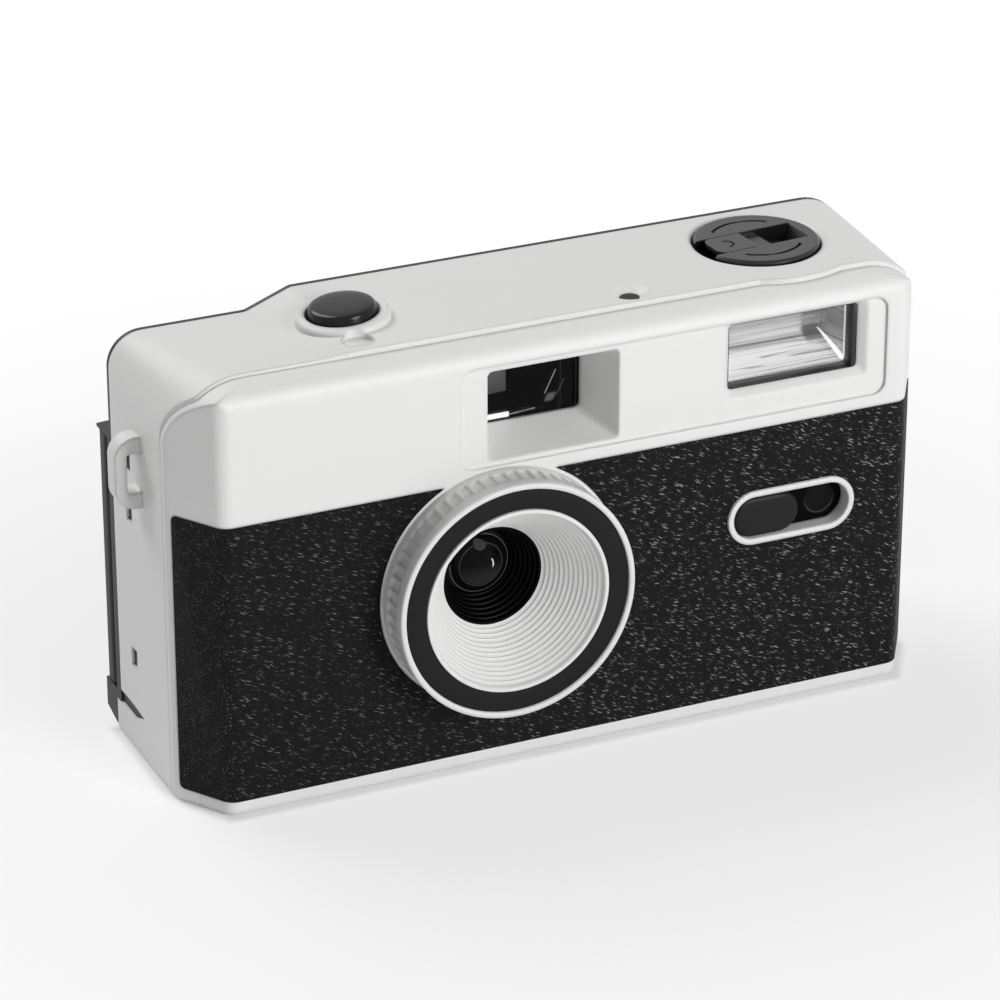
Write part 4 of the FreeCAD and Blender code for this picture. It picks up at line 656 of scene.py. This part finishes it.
pane_gap = 0.00002
pane = block("flash_pane", gasket_hole[0] + pane_gap, gasket_hole[1] - pane_gap, pane_front,
             pane_back, gasket_hole[2] + pane_gap, gasket_hole[3] - pane_gap)
soften(pane, 0.0001)
pane_clear = moulded("pane_clear", (0.9, 0.9, 0.9), (0.95, 0.95, 0.95), 0.08, edge=0.00005,
                     grain=0.0, constants={"Alpha": 0.06})
wear(pane, pane_clear)
wear(nodes["flash_window"], pane_clear)
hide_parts("flash_window")
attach(pane, "camera")

trough_mouth = (0.02475, 0.0441, 0.0508, 0.0602)
trough_end = (0.0259, 0.0430, 0.0540, 0.0588)
trough = block("flash_trough", trough_mouth[0], trough_mouth[1], trough_front, trough_back,
               trough_mouth[2], trough_mouth[3])
bpy.ops.object.mode_set(mode="EDIT")
pick_end(trough, trough_back)
reshape_end(trough, trough_back, trough_end)
pick_end(trough, trough_front)
bpy.ops.mesh.delete(type="FACE")
pick(trough, lambda ends: abs(ends[0].y - ends[1].y) > 0.001, "EDGE")
bpy.ops.mesh.bevel(offset=0.0005, segments=4, affect="EDGES")
bpy.ops.object.mode_set(mode="OBJECT")
shell = trough.modifiers.new("shell", "SOLIDIFY")
shell.thickness = 0.0002
shell.offset = 1.0
bpy.ops.object.modifier_apply(modifier=shell.name)
bpy.ops.object.shade_smooth_by_angle(angle=math.radians(40))


def trough_finish():
    """Bright metallised plastic, crossed by the fine level lines of the pane in front, with
    painted light: a brighter floor, a painted dark line and dark reflections, a darker end
    wall, and painted highlights of the tube and the rim that glow a little.
    """
    made, shader, start, place = new_finish("metallised_trough", {
        "Metallic": 0.05, "Emission Strength": 0.7})
    flat = start.node("Mapping", inputs={"Vector": place, "Scale": (0.008, 0.02, 1.0)})
    broad = start.node("TexNoise", inputs={"Vector": flat, "Scale": 1100.0, "Detail": 1.0})
    fine = start.node("TexNoise", inputs={"Vector": flat, "Scale": 3400.0, "Detail": 2.0})
    right, up = from_centre(place, (trough_mouth[1], trough_mouth[2]))
    depth = place.axes(1)[0] - trough_front
    floor = 1 - up.span(0.0026, 0.0029)
    line = fine.near(0.5, 0.012, 0.04)
    painted_dark_line = up.near(0.00275, 0.00006, 0.00016)
    # Painted light: the floor is painted brighter, with a painted dark line across it.
    bright = (floor * 0.45 + broad.span(0.35, 0.65) * 0.3 + 0.38) * (1 - line * 0.6) * (
        1 - painted_dark_line * 0.7)
    end_wall = (right + depth * 0.2).span(-0.0006, -0.0003) * depth.span(0.0, 0.0003)
    # A painted dark reflection up to the right, and painted shade on the end wall.
    painted_dark_reflection = right.span(-0.0046, -0.0036) * (1 - right.span(-0.0016, -0.0006)) * up.span(
        0.0016, 0.0028) * broad.span(0.15, 0.35)
    bright = bright * (1 - painted_dark_reflection * 0.97) * (1 - end_wall * 0.3)
    # Painted highlights of the tube along the end wall and of the trough's rim; they and the
    # floor glow a little, as painted light.
    painted_tube_highlight = end_wall * (up - depth * 0.47).near(0.0003, 0.0003, 0.00042)
    rim = (1 - depth.span(0.00022, 0.0003)) * right.span(-0.0004, -0.0003)
    feed(shader, "Base Color", start.maths("MINIMUM", bright + painted_tube_highlight + rim * 0.6,
                                           1.0).blend((0, 0, 0), (0.98, 0.98, 0.98)))
    feed(shader, "Emission Color", (painted_tube_highlight + rim * 0.5 + floor * bright * 0.12).blend(
        (0, 0, 0), (1, 1, 1)))
    feed(shader, "Roughness", 0.3 + fine * 0.12)
    return made


mirror = trough_finish()
wear(trough, mirror)
wear(nodes["flash_reflector"], mirror)
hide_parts("flash_reflector")
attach(trough, "camera")
wear(nodes["flash_tube"], moulded("tube_glass", (0.9, 0.9, 0.9), (0.95, 0.95, 0.95), 0.06,
                                  edge=0.00005, grain=0.0, constants={"Alpha": 0.2}))
wear(nodes["flash_board"], moulded("board_green", (0.02, 0.11, 0.045),
                                   (0.03, 0.14, 0.06), 0.35))
wear(nodes["flash_capacitor"], moulded("capacitor_sleeve", (0.012, 0.014, 0.03),
                                       (0.016, 0.018, 0.038), 0.25))


# Flash switch: a satin black slider with a rounded rim, sliding in the front cover's
# raised white oval on a black plate, and held there by friction.

pill_radius = 0.00318
pill_left, pill_right, pill_z = 0.02825, 0.03239, 0.03065
pill_front, pill_back = -0.0164, -0.01405
pill = start_shape("flash_slider", bpy.ops.mesh.primitive_cylinder_add, vertices=64,
                   radius=pill_radius, depth=pill_back - pill_front,
                   rotation=(math.pi / 2, 0, 0),
                   location=(pill_left, (pill_front + pill_back) / 2, pill_z))
bpy.ops.object.mode_set(mode="EDIT")
bpy.ops.mesh.select_all(action="SELECT")
bpy.ops.mesh.bisect(plane_co=(pill_left, 0, 0), plane_no=(1, 0, 0))
pick(pill, lambda ends: all(end.x > pill_left + 0.00001 for end in ends), "EDGE")
bpy.ops.transform.translate(value=(pill_right - pill_left, 0, 0))
pick(pill, lambda ends: all(end.y < pill_front + 0.00001 for end in ends)
     and abs(ends[0].x - pill_left) + abs(ends[1].x - pill_left) > 0.00002, "EDGE")
bpy.ops.mesh.bevel(offset=0.00085, segments=6, affect="EDGES")
bpy.ops.object.mode_set(mode="OBJECT")
bpy.ops.object.shade_smooth_by_angle(angle=math.radians(40))
switch_black = moulded("switch_black", (0.008, 0.008, 0.0082), (0.013, 0.013, 0.0132), 0.42,
                       edge=0.0001, grain=0.35, constants={"Specular IOR Level": 0.15})
wear(pill, switch_black)
wear(nodes["flash_switch"], switch_black)
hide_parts("flash_switch")
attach(pill, "flash_switch")


def switch_plate_finish():
    """Black plate with the faint round mark where the slider stops."""
    made, shader, start, place = new_finish("switch_plate", {"Specular IOR Level": 0.03})
    marks = start.node("TexNoise", inputs={"Vector": place, "Scale": 900.0, "Detail": 3.0})
    right, up = from_centre(place, (0.0399, pill_z))
    away = reach(right, up)
    ring_line = away.near(0.0023, 0.00008, 0.0002)
    disc = (1 - away.span(0.0022, 0.0024)) * 0.12
    feed(shader, "Base Color", (disc + ring_line * (1 - up.span(-0.002, 0.001)) * 0.7).blend(
        (0.002, 0.002, 0.002), (0.05, 0.05, 0.05)))
    feed(shader, "Roughness", 0.5 + marks * 0.1)
    return made


wear(nodes["switch_plate"], switch_plate_finish())


# Middle case: satin white ABS shell between the two covers, with the collar of the
# shutter button, the well of the rewind dial, the strap loop and the counter's hole.

wear(nodes["middle_case"], white_plastic)


# Shutter button: a glossy black hollow cap with a low crown and a stem, leaning with the
# slope of the case's shutter end, on a small steel spring.

button_x, button_y, top_z = -0.0277, 0.0004, 0.065
button_lean = math.radians(-5.0)
button = lathe("shutter_button_cap", [
    (0.0002, 0.06721), (0.0016, 0.0672), (0.0030, 0.06716), (0.0040, 0.06709),
    (0.00438, 0.06701), (0.00456, 0.06689), (0.00466, 0.06674), (0.00472, 0.06655),
    (0.00484, 0.0660), (0.00496, 0.0655), (0.0051, 0.0649), (0.0051, 0.06401),
    (0.0044, 0.06401), (0.0044, 0.0655), (0.0015, 0.0655), (0.0015, 0.0567),
    (0.0002, 0.0567)], (button_x, button_y), upright=True, sides=96)
bpy.ops.object.shade_smooth_by_angle(angle=math.radians(50))
pivot = Vector((button_x, button_y, top_z))
button.matrix_world = (Matrix.Translation(pivot) @ Matrix.Rotation(button_lean, 4, "Y")
                       @ Matrix.Translation(-pivot))
bpy.ops.object.transform_apply(location=True, rotation=True, scale=True)
button_black = moulded("button_black", (0.004, 0.004, 0.0042), (0.006, 0.006, 0.0062), 0.17,
                       edge=0.00008, grain=0.01, constants={"Specular IOR Level": 0.2})
wear(button, button_black)
wear(nodes["shutter_button"], button_black)
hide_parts("shutter_button")
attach(button, "shutter_button")
spring_steel = metal("spring_steel", (0.55, 0.55, 0.56), (0.68, 0.68, 0.69), 0.2)
wear(nodes["button_spring"], spring_steel)


# Rewind dial: charcoal ABS with a channel across it, two long curved grooves, and a tab
# in the channel that stands up as a crank. Its shaft ends in a fork in the cassette.

dial_charcoal = moulded("dial_charcoal", (0.005, 0.005, 0.0052), (0.008, 0.008, 0.0082), 0.28,
                        edge=0.00018, constants={"Specular IOR Level": 0.38})
for name in ("rewind_knob", "rewind_crank"):
    wear(nodes[name], dial_charcoal)
for name in ("rewind_collar", "rewind_fork"):
    wear(nodes[name], acetal)
wear(nodes["crank_pin"], spring_steel)


# Rear cover and film door: satin black ABS. The door turns on a steel pin at the
# shutter end and is held by a sliding latch at the other. Inside it a leaf spring bears
# on the black pressure plate.

back_black = moulded("back_black", (0.008, 0.008, 0.0082), (0.012, 0.012, 0.0122), 0.45,
                     grain=0.12, constants={"Specular IOR Level": 0.25})
for name in ("rear_cover", "film_door", "door_latch"):
    wear(nodes[name], back_black)
for name in ("hinge_pin", "pressure_spring"):
    wear(nodes[name], spring_steel)
wear(nodes["pressure_plate"], black_metal)
wear(nodes["ready_lamp"], clear("lamp_red", (0.75, 0.08, 0.03)))


# Base: the battery door in white ABS, its contacts, and the black rewind release.

wear(nodes["battery_door"], white_plastic)
wear(nodes["battery_contacts"], spring_steel)
wear(nodes["rewind_release"], back_black)


# Studio: a pale table that runs on without a horizon, one soft lamp low in front to the
# right and one high behind to the left, and the camera of the photograph.

table = start_shape("table", bpy.ops.mesh.primitive_plane_add, size=12.0, location=(0, 0, 0))


def seen_directly(start):
    """1 for what the camera sees, straight or through glass or a gloss."""
    rays = start.node("LightPath").socket.node
    seen = [Socket(start.tree, rays.outputs[name]) for name in
            ("Is Camera Ray", "Is Glossy Ray", "Is Transmission Ray")]
    return start.maths("MINIMUM", seen[0] + seen[1] + seen[2], 1.0)


def table_finish():
    """Pale board that pales to white away from the camera's foot, in what is seen."""
    made, shader, start, place = new_finish("pale_table", {"Roughness": 0.7,
                                                           "Specular IOR Level": 0.3})
    grain = start.node("TexNoise", inputs={"Vector": place, "Scale": 4.0})
    feed(shader, "Base Color", grain.blend((0.86, 0.86, 0.865), (0.88, 0.88, 0.885)))
    # The dark line where the foot meets the table is partly real shadow and partly painted
    # shade: the white glow is held back along the foot's outline, which has two ends, a front
    # and a back, and two facets.
    foot_half_length, foot_half_depth, foot_middle_y = 0.0575, 0.0156, -0.0004
    facet_across, facet_along, facet_distance = 0.843, -0.538, 0.0526
    x, y = place.axes(0, 1)
    side = abs(x)
    past_ends = side - foot_half_length
    past_faces = abs(y - foot_middle_y) - foot_half_depth
    past_facets = side * facet_across + y * facet_along - facet_distance
    gap = start.maths("MAXIMUM", start.maths("MAXIMUM", past_ends, past_faces), past_facets)
    far = start.node("VectorMath", {"operation": "LENGTH"}, {0: place}, output="Value")
    pale = gap.span(0.0, 0.0018) * 0.5 + 0.16 + far.span(0.06, 0.18) * 0.34
    glow = start.node("Emission", inputs={"Color": (1, 1, 1, 1), "Strength": 1.0})
    lay_over(shader, glow, seen_directly(start) * pale)
    return made


wear(table, table_finish())

world = bpy.data.worlds.new("studio")
bpy.context.scene.world = world
world.use_nodes = True
sky = world.node_tree.nodes["Background"]
sky.inputs["Color"].default_value = (1, 1, 1, 1)
sky_light = 0.16
strength = sky_light + seen_directly(Socket(world.node_tree)) * (1 - sky_light)
world.node_tree.links.new(strength.socket, sky.inputs["Strength"])


def lamp(name, place, size, power):
    """A round soft lamp at a place, turned to the camera."""
    bpy.ops.object.light_add(type="AREA", location=place)
    made = bpy.context.object
    made.name = name
    made.data.shape = "DISK"
    made.data.size = size
    made.data.energy = power
    made.rotation_euler = (Vector((0, 0, 0.03)) - Vector(place)).to_track_quat(
        "-Z", "Y").to_euler()


lamp("front_lamp", (0.38, -1.0, 0.43), 0.6, 9.3)
lamp("back_lamp", (-0.33, 0.68, 0.83), 0.8, 7.9)

# The camera stands where the photograph was taken: 24 degrees round to the shutter end
# and 25 degrees up, with a long lens.
camera_turn = math.radians(-24.375)
camera_rise = math.radians(25.209)
camera_data = bpy.data.cameras.new("camera")
camera = bpy.data.objects.new("camera", camera_data)
bpy.context.scene.collection.objects.link(camera)
back = Vector((math.sin(camera_turn) * math.cos(camera_rise),
               -math.cos(camera_turn) * math.cos(camera_rise), math.sin(camera_rise)))
camera.location = (-0.24609, -0.53405, 0.30874)
camera.rotation_euler = (-back).to_track_quat("-Z", "Y").to_euler()
camera_data.sensor_width = 36.0
camera_data.lens = 163.55
bpy.context.scene.camera = camera
bpy.context.scene.view_settings.view_transform = "Standard"
